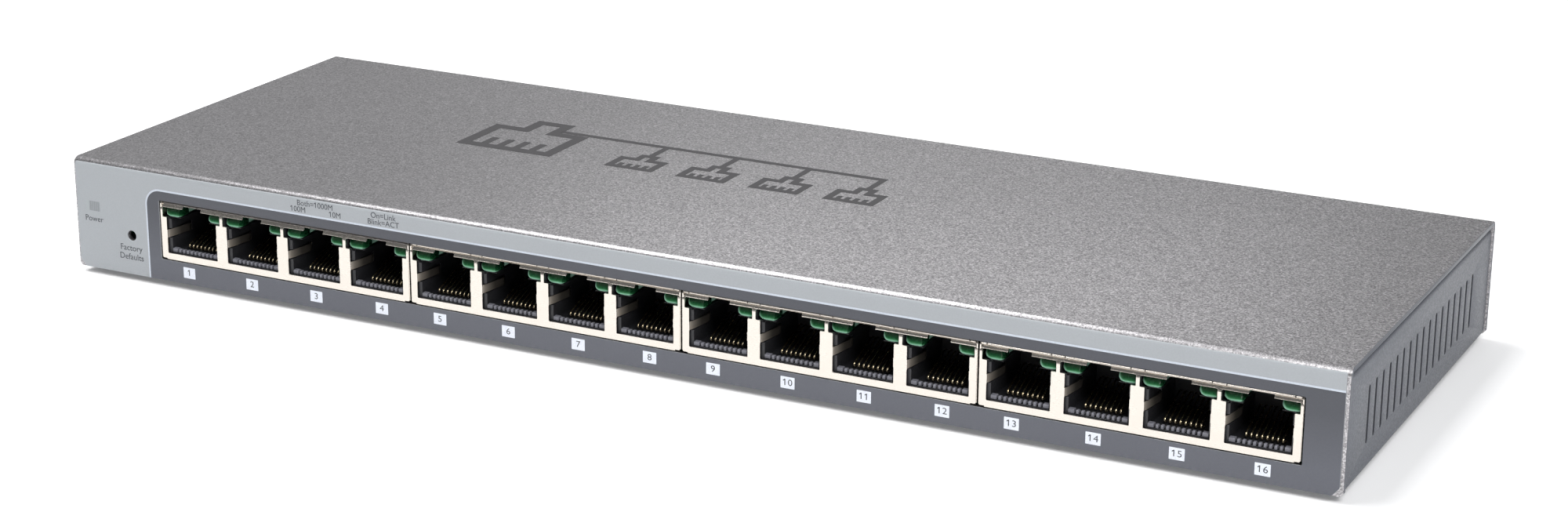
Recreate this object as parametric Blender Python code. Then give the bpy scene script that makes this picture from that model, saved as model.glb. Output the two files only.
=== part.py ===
"""Desktop network switch, modelled as an assembly of separate parts.

Frame: origin at the bottom centre of the whole object (under the feet),
+X to the right along the row of ports, the ports face -Y, +Z up.
Every driving dimension below is in millimetres; meshes are made in metres.
"""

import math

import bmesh
import bpy
from mathutils import Matrix, Vector

MM = 0.001

# ---------------------------------------------------------------- dimensions
# outer envelope
HALF_W = 143.0            # half of the 286 mm width
HALF_D = 50.5             # half of the 101 mm depth
Z_BASE = 1.2              # underside of the steel tray (height of the feet)
Z_TOP = 26.0              # top of the cover
SHEET = 1.0               # steel sheet
BEND_R = 1.2              # outer bend radius of the cover
GAP = 0.3                 # clearance between touching parts

# front overlay label
LABEL_T = 0.25
LABEL_Y0, LABEL_Y1 = -HALF_D, -HALF_D + LABEL_T
LABEL_X = (-142.5, 142.3)
LABEL_Z = (1.45, 25.1)
FRONT_Y = -50.15          # outer face of the cover's front wall

# port bank: four modules of four ports
PORT_PITCH = 15.75
EDGE_TO_PORT = 8.1
MODULE_W = 3 * PORT_PITCH + 2 * EDGE_TO_PORT
MODULE_PITCH = 63.8
BANK_X0 = -120.1
SHIELD_Z = (6.45, 19.35)
SHIELD_Y = (-50.4, -27.5)
SHIELD_T = 0.3
PORT_HALF = 6.5           # half width of the opening in the shield
PORT_Z = (8.0, 15.95)
LIGHT_HALF = 7.5          # half width across both light windows
LIGHT_Z = 18.3            # top of the light windows

# plug cavity inside the plastic housing
CAVITY_HALF = 5.9
HOUSE_Y = (-49.8, -28.1)
HOUSE_Z = (6.75, 16.05)
POST_TOP = 18.7
CAVITY_BACK = -35.0

# circuit board
PCB_X = 140.2
PCB_Y = (-48.2, 46.5)
PCB_Z = (4.5, 6.1)
PART_Z = PCB_Z[1] + GAP   # underside of everything that stands on the board

# fixings
FOOT = (128.0, 33.0)
FOOT_R = 5.5
COVER_SCREW = (133.0, 44.0)
PCB_SCREW = ((-134.0, -18.0), (134.0, -18.0), (-134.0, 33.0), (134.0, 33.0))

# controls and inlet
RESET = (-128.1, 10.3)
PINHOLE_R = 1.15
RESET_TRAVEL = 0.25       # stroke of the tact switch, used by its slide joint
LIGHT_X, LIGHT_ZC = -138.2, 15.6
JACK_X, JACK_Z = 112.0, 12.9
LOCK_X, LOCK_Z = -118.0, 13.0

# side vents
SLOT_COUNT = 17
SLOT_PITCH = 4.5
SLOT_W = 1.1
SLOT_Z = (6.9, 18.4)


# ------------------------------------------------------------------- helpers
for old in list(bpy.data.objects):
    bpy.data.objects.remove(old, do_unlink=True)

scene = bpy.context.scene
scene.unit_settings.system = "METRIC"
scene.unit_settings.length_unit = "MILLIMETERS"


def srgb(r, g, b):
    """8-bit sRGB colour as linear values."""
    out = []
    for c in (r, g, b):
        c /= 255.0
        out.append(c / 12.92 if c <= 0.04045 else ((c + 0.055) / 1.055) ** 2.4)
    return out


def material(name, rgb, rough, metal=0.0, transmission=0.0):
    mat = bpy.data.materials.get(name)
    if mat:
        return mat
    mat = bpy.data.materials.new(name)
    mat.use_nodes = True
    bsdf = mat.node_tree.nodes["Principled BSDF"]
    col = srgb(*rgb) + [1.0]
    bsdf.inputs["Base Color"].default_value = col
    bsdf.inputs["Roughness"].default_value = rough
    bsdf.inputs["Metallic"].default_value = metal
    bsdf.inputs["Transmission Weight"].default_value = transmission
    mat.diffuse_color = col
    return mat


PAINT_TOP = material("metallic_grey_paint", (140, 138, 140), 0.45, 0.4)
PAINT_BASE = material("blue_grey_paint", (118, 122, 128), 0.55, 0.2)
LABEL = material("printed_overlay", (95, 97, 105), 0.5)
RUBBER = material("black_rubber", (28, 28, 30), 0.85)
BOARD = material("green_board", (24, 84, 52), 0.5)
PLATED = material("plated_steel", (228, 222, 212), 0.28, 1.0)
BLACK = material("black_plastic", (24, 24, 26), 0.5)
GOLD = material("gold_plated_wire", (226, 178, 92), 0.25, 1.0)
LENS = material("green_lens", (45, 120, 70), 0.2, 0.0, 0.3)
CLEAR = material("frosted_lens", (200, 205, 205), 0.35, 0.0, 0.3)
STEEL = material("zinc_steel", (196, 198, 200), 0.35, 1.0)
ANODISED = material("black_anodised", (46, 48, 52), 0.45, 0.8)
CHIP = material("chip_epoxy", (34, 34, 36), 0.6)
SLEEVE = material("capacitor_sleeve", (40, 44, 70), 0.4)

ROOT = bpy.data.objects.new("switch_origin", None)
scene.collection.objects.link(ROOT)


def empty(name, parent=ROOT, loc=(0, 0, 0)):
    e = bpy.data.objects.new(name, None)
    e.location = Vector(loc) * MM
    e.parent = parent
    scene.collection.objects.link(e)
    return e


def add_obj(name, mesh, mat=None, loc=(0, 0, 0), parent=ROOT):
    obj = bpy.data.objects.new(name, mesh)
    obj.location = Vector(loc) * MM
    obj.parent = parent
    scene.collection.objects.link(obj)
    if mat is not None and not mesh.materials:
        mesh.materials.append(mat)
    return obj


def to_mesh(name, bm):
    """Millimetre bmesh to a metre mesh with outward faces."""
    bmesh.ops.recalc_face_normals(bm, faces=bm.faces)
    bmesh.ops.scale(bm, vec=(MM, MM, MM), verts=bm.verts)
    me = bpy.data.meshes.new(name)
    bm.to_mesh(me)
    bm.free()
    return me


def box(bm, x0, x1, y0, y1, z0, z1):
    r = bmesh.ops.create_cube(bm, size=1.0)
    for v in r["verts"]:
        v.co = Vector((
            x0 if v.co.x < 0 else x1,
            y0 if v.co.y < 0 else y1,
            z0 if v.co.z < 0 else z1,
        ))
    return r["verts"]


def prism(bm, outline, axis, a0, a1):
    """Extrude a closed outline from a0 to a1 along axis.

    The outline's two numbers are the other two axes in X, Y, Z order.
    """
    def at(p, a):
        if axis == "x":
            return (a, p[0], p[1])
        if axis == "y":
            return (p[0], a, p[1])
        return (p[0], p[1], a)

    low = [bm.verts.new(at(p, a0)) for p in outline]
    face = bm.faces.new(low)
    out = bmesh.ops.extrude_face_region(bm, geom=[face])
    moved = [g for g in out["geom"] if isinstance(g, bmesh.types.BMVert)]
    shift = Vector(at((0, 0), a1 - a0))
    bmesh.ops.translate(bm, vec=shift, verts=moved)
    return low + moved


def cylinder(bm, centre, radius, axis, a0, a1, seg=20, phase=0.5):
    """Turned disc; centre holds the two coordinates across the axis."""
    ring = [
        (centre[0] + radius * math.cos(2 * math.pi * (i + phase) / seg),
         centre[1] + radius * math.sin(2 * math.pi * (i + phase) / seg))
        for i in range(seg)
    ]
    return prism(bm, ring, axis, a0, a1)


def fillet(points, radii, seg=4):
    """Round the inner corners of an open path."""
    out = [points[0]]
    for i in range(1, len(points) - 1):
        p, r = Vector(points[i]), radii[i - 1]
        a = (Vector(points[i - 1]) - p).normalized()
        b = (Vector(points[i + 1]) - p).normalized()
        if r <= 0:
            out.append(tuple(p))
            continue
        half = a.angle(b) / 2
        d = r / math.tan(half)
        c = p + (a + b).normalized() * (r / math.sin(half))
        s, e = p + a * d, p + b * d
        vs, ve = s - c, e - c
        turn = vs.angle_signed(ve)
        for k in range(seg + 1):
            t = turn * k / seg
            cs, sn = math.cos(-t), math.sin(-t)
            out.append((c.x + vs.x * cs - vs.y * sn, c.y + vs.x * sn + vs.y * cs))
    out.append(points[-1])
    return out


def slot_outline(cx, cz, width, height, seg=4):
    """Upright slot with round ends."""
    r = width / 2
    pts = []
    for k in range(seg + 1):
        a = math.pi * k / seg
        pts.append((cx + r * math.cos(a), cz + height / 2 - r + r * math.sin(a)))
    for k in range(seg + 1):
        a = math.pi + math.pi * k / seg
        pts.append((cx + r * math.cos(a), cz - height / 2 + r + r * math.sin(a)))
    return pts


def boolean(obj, name, bm, op="DIFFERENCE"):
    """Cut or join with a hidden helper that stays in the file."""
    tool = add_obj("tool_" + name, to_mesh("tool_" + name, bm), None,
                   tuple(c / MM for c in obj.location), obj.parent)
    tool.hide_render = True
    tool.display_type = "WIRE"
    tool.hide_set(True)
    mod = obj.modifiers.new(name, "BOOLEAN")
    mod.operation = op
    mod.solver = "EXACT"
    mod.object = tool
    return mod


def freeze(obj):
    """Apply the modifiers so that copies can share the finished mesh."""
    bpy.context.view_layer.update()
    deps = bpy.context.evaluated_depsgraph_get()
    me = bpy.data.meshes.new_from_object(obj.evaluated_get(deps))
    tools = [m.object for m in obj.modifiers if m.type == "BOOLEAN"]
    obj.modifiers.clear()
    obj.data = me
    for t in tools:
        bpy.data.objects.remove(t, do_unlink=True)
    return me


def smooth(obj, degrees=35):
    obj.data.shade_smooth()
    obj.data.set_sharp_from_angle(angle=math.radians(degrees))


# ----------------------------------------------------------------- top cover
# One sheet bent into a C: front wall, top and rear wall.
COVER_BOTTOM = 1.35
outer = fillet(
    [(FRONT_Y, COVER_BOTTOM), (FRONT_Y, Z_TOP), (HALF_D, Z_TOP), (HALF_D, COVER_BOTTOM)],
    [BEND_R, BEND_R], 5)
inner = fillet(
    [(HALF_D - SHEET, COVER_BOTTOM), (HALF_D - SHEET, Z_TOP - SHEET),
     (FRONT_Y + SHEET, Z_TOP - SHEET), (FRONT_Y + SHEET, COVER_BOTTOM)],
    [BEND_R - SHEET, BEND_R - SHEET], 3)
bm = bmesh.new()
prism(bm, outer + inner, "x", -HALF_W, HALF_W)
cover = add_obj("top_cover", to_mesh("top_cover", bm), PAINT_TOP)

# four screw tabs, bent inwards from the foot of the front and rear walls
TAB_Z = (2.6, 3.6)
bm = bmesh.new()
for sx in (-1, 1):
    cx = sx * COVER_SCREW[0]
    box(bm, cx - 6, cx + 6, FRONT_Y + 0.4, -39.5, *TAB_Z)
    box(bm, cx - 6, cx + 6, 39.5, HALF_D - 0.4, *TAB_Z)
boolean(cover, "cover_tabs", bm, "UNION")

# windows and holes: jack bank, power light, pinhole, DC inlet, lock slot,
# tab holes and the clipped lower corners of both walls
BANK_X1 = BANK_X0 + 3 * MODULE_PITCH + MODULE_W
bm = bmesh.new()
box(bm, BANK_X0 - GAP, BANK_X1 + GAP, -52, -48, SHIELD_Z[0] - GAP, SHIELD_Z[1] + GAP)
box(bm, LIGHT_X - 1.9, LIGHT_X + 1.9, -52, -48, LIGHT_ZC - 1.2, LIGHT_ZC + 1.2)
cylinder(bm, RESET, PINHOLE_R, "y", -52, -48, 16)
cylinder(bm, (JACK_X, JACK_Z), 4.0, "y", 48, 52, 24)
prism(bm, [(LOCK_X - 3.5, LOCK_Z - 1.5), (LOCK_X + 3.5, LOCK_Z - 1.5),
           (LOCK_X + 3.5, LOCK_Z + 1.5), (LOCK_X - 3.5, LOCK_Z + 1.5)], "y", 48, 52)
for sx in (-1, 1):
    for sy in (-1, 1):
        cylinder(bm, (sx * COVER_SCREW[0], sy * COVER_SCREW[1]), 1.9, "z", 2.0, 4.2, 12)
for sx in (-1, 1):
    x0, x1 = sx * (HALF_W - 1.6), sx * (HALF_W + 1)
    for y0, y1 in ((-52, -48.5), (48.8, 52)):
        prism(bm, [(x0, COVER_BOTTOM - 1), (x1, COVER_BOTTOM - 1), (x1, COVER_BOTTOM + 1.8)],
              "y", y0, y1)
boolean(cover, "cover_openings", bm)
smooth(cover)

# -------------------------------------------------------------- base chassis
# A tray: bottom, both sides, and a narrow inward flange along each top edge.
SIDE_X = 142.6
SIDE_TOP = 24.3
FLANGE_X = 136.8
outer = fillet(
    [(FLANGE_X, SIDE_TOP), (SIDE_X, SIDE_TOP), (SIDE_X, Z_BASE),
     (-SIDE_X, Z_BASE), (-SIDE_X, SIDE_TOP), (-FLANGE_X, SIDE_TOP)],
    [BEND_R] * 4, 4)
inner = fillet(
    [(-FLANGE_X, SIDE_TOP - SHEET), (-SIDE_X + SHEET, SIDE_TOP - SHEET),
     (-SIDE_X + SHEET, Z_BASE + SHEET), (SIDE_X - SHEET, Z_BASE + SHEET),
     (SIDE_X - SHEET, SIDE_TOP - SHEET), (FLANGE_X, SIDE_TOP - SHEET)],
    [BEND_R - SHEET] * 4, 2)
TRAY_Y = (FRONT_Y + SHEET + GAP, HALF_D - SHEET - GAP)
bm = bmesh.new()
prism(bm, outer + inner, "y", *TRAY_Y)
chassis = add_obj("base_chassis", to_mesh("base_chassis", bm), PAINT_BASE)

# embossed stand-offs that carry the board
bm = bmesh.new()
for x, y in PCB_SCREW:
    cylinder(bm, (x, y), 3.4, "z", Z_BASE + 0.5, PCB_Z[0] - GAP, 16)
boolean(chassis, "standoffs", bm, "UNION")

bm = bmesh.new()
for i in range(SLOT_COUNT):
    y = (i - (SLOT_COUNT - 1) / 2) * SLOT_PITCH
    prism(bm, slot_outline(y, (SLOT_Z[0] + SLOT_Z[1]) / 2, SLOT_W, SLOT_Z[1] - SLOT_Z[0], 3),
          "x", -150, 150)
for x, y in PCB_SCREW:
    cylinder(bm, (x, y), 1.7, "z", Z_BASE + 0.45, 5.0, 12)
for sx in (-1, 1):
    for sy in (-1, 1):
        cylinder(bm, (sx * COVER_SCREW[0], sy * COVER_SCREW[1]), 1.9, "z", 0, 3.0, 12)
    # hanging keyhole
    cx = sx * 62.0
    prism(bm, [(cx - 1.9, 11.0), (cx + 1.9, 11.0), (cx + 1.9, 3.4), (cx + 3.4, 2.1),
               (cx + 4.0, 0.0), (cx + 3.4, -2.1), (cx + 2.1, -3.4), (cx, -4.0),
               (cx - 2.1, -3.4), (cx - 3.4, -2.1), (cx - 4.0, 0.0), (cx - 3.4, 2.1),
               (cx - 1.9, 3.4)], "z", 0, 3.0)
boolean(chassis, "vents_and_holes", bm)
smooth(chassis)

# ------------------------------------------------------------- front overlay
bm = bmesh.new()
cx = 1.5
prism(bm, [(LABEL_X[0] + cx, LABEL_Z[0]), (LABEL_X[1] - cx, LABEL_Z[0]),
           (LABEL_X[1], LABEL_Z[0] + cx + 0.2), (LABEL_X[1], LABEL_Z[1]),
           (LABEL_X[0], LABEL_Z[1]), (LABEL_X[0], LABEL_Z[0] + cx + 0.2)],
      "y", LABEL_Y0, LABEL_Y1)
overlay = add_obj("front_overlay", to_mesh("front_overlay", bm), LABEL)
bm = bmesh.new()
box(bm, BANK_X0 - GAP, BANK_X1 + GAP, -52, -48, SHIELD_Z[0] - GAP, SHIELD_Z[1] + GAP)
cylinder(bm, RESET, PINHOLE_R, "y", -52, -48, 16)
boolean(overlay, "overlay_openings", bm)

# ---------------------------------------------------------------- rubber feet
bm = bmesh.new()
cylinder(bm, (0, 0), FOOT_R, "z", 0.0, Z_BASE - 0.1, 24)
foot_mesh = to_mesh("rubber_foot", bm)
foot_mesh.materials.append(RUBBER)
n = 0
for sy in (-1, 1):
    for sx in (-1, 1):
        n += 1
        foot = add_obj("rubber_foot_%d" % n, foot_mesh, None, (sx * FOOT[0], sy * FOOT[1], 0))
foot_mesh.shade_smooth()
foot_mesh.set_sharp_from_angle(angle=math.radians(35))

# --------------------------------------------------------------- main board
bm = bmesh.new()
c = 6.0
prism(bm, [(-PCB_X, PCB_Y[0]), (PCB_X, PCB_Y[0]), (PCB_X, PCB_Y[1] - c),
           (PCB_X - c, PCB_Y[1]), (-PCB_X + c, PCB_Y[1]), (-PCB_X, PCB_Y[1] - c)], "z", *PCB_Z)
pcb = add_obj("main_pcb", to_mesh("main_pcb", bm), BOARD)
bm = bmesh.new()
for x, y in PCB_SCREW:
    cylinder(bm, (x, y), 1.8, "z", 3.0, 8.0, 12)
boolean(pcb, "pcb_holes", bm)

# ----------------------------------------------------------------- jack bank
PORTS = [EDGE_TO_PORT + k * PORT_PITCH for k in range(4)]
SY0, SY1 = SHIELD_Y
SZ0, SZ1 = SHIELD_Z

# shield: folded shell, open underneath, with the four port openings
bm = bmesh.new()
box(bm, 0, MODULE_W, SY0, SY1, SZ0, SZ1)
shield = add_obj("jack_shield_1", to_mesh("jack_shield", bm), PLATED)
bm = bmesh.new()
box(bm, SHIELD_T, MODULE_W - SHIELD_T, SY0 + SHIELD_T, SY1 - SHIELD_T, SZ0 - 2, SZ1 - SHIELD_T)
boolean(shield, "shield_hollow", bm)
bm = bmesh.new()
for px in PORTS:
    prism(bm, [(px - PORT_HALF, PORT_Z[0]), (px + PORT_HALF, PORT_Z[0]),
               (px + PORT_HALF, PORT_Z[1]), (px + LIGHT_HALF, PORT_Z[1]),
               (px + LIGHT_HALF, LIGHT_Z), (px - LIGHT_HALF, LIGHT_Z),
               (px - LIGHT_HALF, PORT_Z[1]), (px - PORT_HALF, PORT_Z[1])],
          "y", SY0 - 1, SY0 + 1.2)
boolean(shield, "shield_ports", bm)
shield_mesh = freeze(shield)

# housing: plastic block with a plug cavity for each port and posts between
# the light pipes
bm = bmesh.new()
hx0, hx1 = SHIELD_T + GAP, MODULE_W - SHIELD_T - GAP
outline = [(hx0, HOUSE_Z[0]), (hx1, HOUSE_Z[0]), (hx1, HOUSE_Z[1])]
for k in (2, 1, 0):
    mid = (PORTS[k] + PORTS[k + 1]) / 2
    outline += [(mid + 0.3, HOUSE_Z[1]), (mid + 0.3, POST_TOP),
                (mid - 0.3, POST_TOP), (mid - 0.3, HOUSE_Z[1])]
outline += [(hx0, HOUSE_Z[1])]
prism(bm, outline, "y", *HOUSE_Y)
housing = add_obj("jack_housing_1", to_mesh("jack_housing", bm), BLACK)
bm = bmesh.new()
for px in PORTS:
    box(bm, px - CAVITY_HALF, px + CAVITY_HALF, HOUSE_Y[0] - 1, CAVITY_BACK,
        PORT_Z[0] + 0.1, HOUSE_Z[1] + 1)
box(bm, -1, MODULE_W + 1, -30.6, -27, HOUSE_Z[1], POST_TOP + 1)
boolean(housing, "plug_cavities", bm)
housing_mesh = freeze(housing)

# light pipes: eight fingers joined by a rail at the back of the module
LENS_Z = (16.4, 18.0)
bm = bmesh.new()
front, back, rail = -49.6, -28.3, -30.0
outline = [(hx0 + 0.1, rail), (hx0 + 0.1, back), (hx1 - 0.1, back), (hx1 - 0.1, rail)]
for px in reversed(PORTS):
    for x0, x1 in ((2.9, 7.15), (-7.15, -2.9)):
        outline += [(px + x1, rail), (px + x1, front), (px + x0, front), (px + x0, rail)]
prism(bm, outline, "z", *LENS_Z)
lens_mesh = to_mesh("port_light_pipe", bm)
lens_mesh.materials.append(LENS)

# contact comb: eight spring wires on a moulded carrier strip, sloping up
# into the cavity from its front lip
COMB_FOOT = (-47.9, 8.75)
COMB_TIP = (-38.6, 12.0)
COMB_T = 0.35
WIRE = 0.4
bm = bmesh.new()
slope = math.atan2(COMB_TIP[1] - COMB_FOOT[1], COMB_TIP[0] - COMB_FOOT[0])
length = math.hypot(COMB_TIP[0] - COMB_FOOT[0], COMB_TIP[1] - COMB_FOOT[1])
outline = [(-4.3, 1.3), (-4.3, 0.0), (4.3, 0.0), (4.3, 1.3)]
for i in reversed(range(8)):
    cx = (i - 3.5) * 1.016
    outline += [(cx + WIRE / 2, 1.3), (cx + WIRE / 2, length),
                (cx - WIRE / 2, length), (cx - WIRE / 2, 1.3)]
verts = prism(bm, outline, "z", 0.0, COMB_T)
bmesh.ops.rotate(bm, verts=verts, cent=(0, 0, 0), matrix=Matrix.Rotation(slope, 3, "X"))
bmesh.ops.translate(bm, verts=verts, vec=(0, COMB_FOOT[0], COMB_FOOT[1]))
comb_mesh = to_mesh("contact_comb", bm)
comb_mesh.materials.append(GOLD)

port = 0
for m in range(4):
    holder = empty("jack_module_%d" % (m + 1), ROOT, (BANK_X0 + m * MODULE_PITCH, 0, 0))
    if m == 0:
        shield.parent = housing.parent = holder
    else:
        add_obj("jack_shield_%d" % (m + 1), shield_mesh, PLATED, (0, 0, 0), holder)
        add_obj("jack_housing_%d" % (m + 1), housing_mesh, BLACK, (0, 0, 0), holder)
    add_obj("port_light_pipe_%d" % (m + 1), lens_mesh, LENS, (0, 0, 0), holder)
    for k in range(4):
        port += 1
        add_obj("contact_comb_%02d" % port, comb_mesh, GOLD, (PORTS[k], 0, 0), holder)

# --------------------------------------------------------- power light pipe
# An elbow that lifts the board's light up to the window behind the overlay.
bm = bmesh.new()
top, low, back = LIGHT_ZC + 0.85, LIGHT_ZC - 0.85, -42.6
prism(bm, [(-49.9, low), (-44.4, low), (-44.4, PART_Z), (back, PART_Z),
           (back, top - 1.7), (back - 1.7, top), (-49.9, top)], "x",
      LIGHT_X - 1.5, LIGHT_X + 1.5)
add_obj("power_light_pipe", to_mesh("power_light_pipe", bm), CLEAR)

# -------------------------------------------------------------- reset switch
rx, rz = RESET
bm = bmesh.new()
box(bm, rx - 3.0, rx + 3.0, -44.6, -40.6, PART_Z, rz + 3.0)
reset_body = add_obj("reset_switch_body", to_mesh("reset_switch_body", bm), BLACK)
bm = bmesh.new()
cylinder(bm, (rx, rz), 2.05, "y", -46, -42.9, 20)
boolean(reset_body, "plunger_guide", bm)

# plunger: its origin lies on its sliding axis, which runs straight back (+Y)
holder = empty("reset_axis", ROOT, (rx, -44.0, rz))
bm = bmesh.new()
cylinder(bm, (0, 0), 1.75, "y", -3.4, 0.5, 20)
plunger = add_obj("reset_plunger", to_mesh("reset_plunger", bm), BLACK, (0, 0, 0), holder)
bev = plunger.modifiers.new("edge", "BEVEL")
bev.width = 0.25 * MM
bev.segments = 1
bev.limit_method = "ANGLE"
bev.angle_limit = math.radians(60)
smooth(plunger)

# ------------------------------------------------------------------ DC inlet
bm = bmesh.new()
box(bm, JACK_X - 4.5, JACK_X + 4.5, 35.0, 49.2, PART_Z, JACK_Z + 4.5)
inlet = add_obj("dc_inlet_body", to_mesh("dc_inlet_body", bm), BLACK)
bm = bmesh.new()
cylinder(bm, (JACK_X, JACK_Z), 3.1, "y", 39.0, 52, 24)
boolean(inlet, "barrel_bore", bm)
smooth(inlet)
bm = bmesh.new()
cylinder(bm, (JACK_X, JACK_Z), 1.0, "y", 39.3, 48.0, 12)
pin = add_obj("dc_inlet_pin", to_mesh("dc_inlet_pin", bm), PLATED)
smooth(pin)

# -------------------------------------------------------------------- screws
def screw_mesh(name, head_r, head_z, shank_r, shank_z):
    """Pan-head screw turned about Z: half profile spun into a closed solid."""
    z0, z1 = head_z
    zs = shank_z
    up = 1 if zs > z1 else -1
    zo, zi = (z0, z1) if up > 0 else (z1, z0)
    prof = [(0.0, zo), (head_r * 0.72, zo), (head_r, zo + 0.45 * (zi - zo)),
            (head_r, zi), (shank_r, zi), (shank_r, zs), (0.0, zs)]
    seg = 16
    b = bmesh.new()
    rings = []
    for r, z in prof:
        if r == 0.0:
            rings.append([b.verts.new((0, 0, z))])
        else:
            rings.append([b.verts.new((r * math.cos(2 * math.pi * (i + 0.5) / seg),
                                       r * math.sin(2 * math.pi * (i + 0.5) / seg), z))
                          for i in range(seg)])
    for a, c2 in zip(rings, rings[1:]):
        for i in range(seg):
            j = (i + 1) % seg
            if len(a) == 1:
                b.faces.new((a[0], c2[i], c2[j]))
            elif len(c2) == 1:
                b.faces.new((a[i], a[j], c2[0]))
            else:
                b.faces.new((a[i], a[j], c2[j], c2[i]))
    me = to_mesh(name, b)
    me.materials.append(STEEL)
    me.shade_smooth()
    me.set_sharp_from_angle(angle=math.radians(35))
    return me


cover_screw = screw_mesh("cover_screw", 2.6, (0.15, Z_BASE - 0.1), 1.5, 4.1)
pcb_screw = screw_mesh("pcb_screw", 2.75, (PART_Z, PART_Z + 1.7), 1.35, Z_BASE + 0.85)
n = 0
for sy in (-1, 1):
    for sx in (-1, 1):
        n += 1
        add_obj("cover_screw_%d" % n, cover_screw, None,
                (sx * COVER_SCREW[0], sy * COVER_SCREW[1], 0))
for n, (x, y) in enumerate(PCB_SCREW):
    add_obj("pcb_screw_%d" % (n + 1), pcb_screw, None, (x, y, 0))

# ------------------------------------------------------- chips and heat sinks
def chip(name, cx, cy, side, height):
    b = bmesh.new()
    box(b, cx - side / 2, cx + side / 2, cy - side / 2, cy + side / 2,
        PART_Z, PART_Z + height)
    return add_obj(name, to_mesh(name, b), CHIP)


def heat_sink(name, cx, cy, side, z0, base, height, fins):
    """Extruded sink: a base with upright fins that run front to back."""
    pitch = side / (fins - 0.45)
    wide = pitch * 0.55
    x0 = cx - side / 2
    pts = [(x0, z0), (x0 + side, z0)]
    for i in reversed(range(fins)):
        f0 = x0 + i * pitch
        f1 = min(f0 + wide, x0 + side)
        pts += [(f1, z0 + base)] if i < fins - 1 else []
        pts += [(f1, z0 + height), (f0, z0 + height)]
        pts += [(f0, z0 + base)] if i > 0 else []
    b = bmesh.new()
    prism(b, pts, "y", cy - side / 2, cy + side / 2)
    return add_obj(name, to_mesh(name, b), ANODISED)


CHIP_H = 2.0
chip("switch_chip", -22.0, 14.0, 27.0, CHIP_H)
chip("phy_chip", 38.0, 14.0, 20.0, CHIP_H)
SINK_Z = PART_Z + CHIP_H + GAP
heat_sink("heat_sink_1", -22.0, 14.0, 40.0, SINK_Z, 2.0, 9.0, 9)
heat_sink("heat_sink_2", 38.0, 14.0, 28.0, SINK_Z, 2.0, 9.0, 7)

# magnetics: one transformer module behind each jack
bm = bmesh.new()
box(bm, -14.0, 14.0, -7.5, 7.5, PART_Z, PART_Z + 6.0)
mag_mesh = to_mesh("magnetics", bm)
mag_mesh.materials.append(CHIP)
for m in range(4):
    cx = BANK_X0 + m * MODULE_PITCH + MODULE_W / 2
    add_obj("magnetics_%d" % (m + 1), mag_mesh, None, (cx, -17.0, 0))

# power inductor, electrolytic capacitor and clock crystal
bm = bmesh.new()
c = 1.6
s = 6.0
prism(bm, [(84 - s + c, 26 - s), (84 + s - c, 26 - s), (84 + s, 26 - s + c),
           (84 + s, 26 + s - c), (84 + s - c, 26 + s), (84 - s + c, 26 + s),
           (84 - s, 26 + s - c), (84 - s, 26 - s + c)], "z", PART_Z, PART_Z + 6.0)
add_obj("power_inductor", to_mesh("power_inductor", bm), CHIP)
bm = bmesh.new()
cylinder(bm, (99.0, 27.0), 4.0, "z", PART_Z, PART_Z + 11.0, 20)
cap = add_obj("electrolytic_capacitor", to_mesh("electrolytic_capacitor", bm), SLEEVE)
smooth(cap)
bm = bmesh.new()
xtal = []
for k in range(7):
    a = -math.pi / 2 + math.pi * k / 6
    xtal.append((10.5 + 3.3 + 2.2 * math.cos(a), 14.0 + 2.2 * math.sin(a)))
for k in range(7):
    a = math.pi / 2 + math.pi * k / 6
    xtal.append((10.5 - 3.3 + 2.2 * math.cos(a), 14.0 + 2.2 * math.sin(a)))
prism(bm, xtal, "z", PART_Z, PART_Z + 3.5)
add_obj("clock_crystal", to_mesh("clock_crystal", bm), STEEL)
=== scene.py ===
"""Looks of the desktop network switch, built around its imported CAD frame."""
import math

import bmesh
import bpy
from mathutils import Matrix, Vector


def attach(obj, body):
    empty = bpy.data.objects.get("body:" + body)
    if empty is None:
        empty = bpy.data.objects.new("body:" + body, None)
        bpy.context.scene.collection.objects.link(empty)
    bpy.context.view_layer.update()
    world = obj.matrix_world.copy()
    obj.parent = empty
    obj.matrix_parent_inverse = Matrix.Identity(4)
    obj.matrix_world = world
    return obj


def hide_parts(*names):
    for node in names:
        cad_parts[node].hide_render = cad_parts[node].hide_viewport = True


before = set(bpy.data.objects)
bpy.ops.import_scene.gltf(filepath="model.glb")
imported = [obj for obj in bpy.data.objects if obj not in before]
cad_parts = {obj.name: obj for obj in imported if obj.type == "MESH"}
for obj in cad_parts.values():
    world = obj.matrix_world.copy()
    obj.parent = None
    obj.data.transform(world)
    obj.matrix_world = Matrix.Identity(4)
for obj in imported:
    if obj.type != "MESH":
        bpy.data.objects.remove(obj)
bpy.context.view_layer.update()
ROOT = "chassis"
MM = 0.001
WORLD_FRONT, WORLD_BACK = 0.15, 0.33

# ------------------------------------------------------------ dimensions, mm
HALF_W, HALF_D = 143.0, 50.5
Z_BASE, Z_TOP, SHEET, BEND_R = 1.2, 26.0, 1.0, 1.2
LID_R = 1.6
FRONT_Y = -50.15
COVER_BOTTOM = 1.35
LABEL_X, LABEL_Z = (-142.5, 142.3), (1.45, 25.25)
PITCH, EDGE, MODULE_PITCH, BANK_X0 = 15.75, 8.1, 63.8, -120.1
MODULE_W = 3 * PITCH + 2 * EDGE
BANK_X1 = BANK_X0 + 3 * MODULE_PITCH + MODULE_W
PORTS = [EDGE + k * PITCH for k in range(4)]
SHIELD_Z = (6.45, 19.35)
RESET = (-128.1, 10.3)
LIGHT_X, LIGHT_ZC = -138.2, 15.6
JACK_X, JACK_Z = 112.0, 12.9
LOCK_X, LOCK_Z = -118.0, 13.0
FOOT, COVER_SCREW = (128.0, 33.0), (133.0, 44.0)


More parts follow.
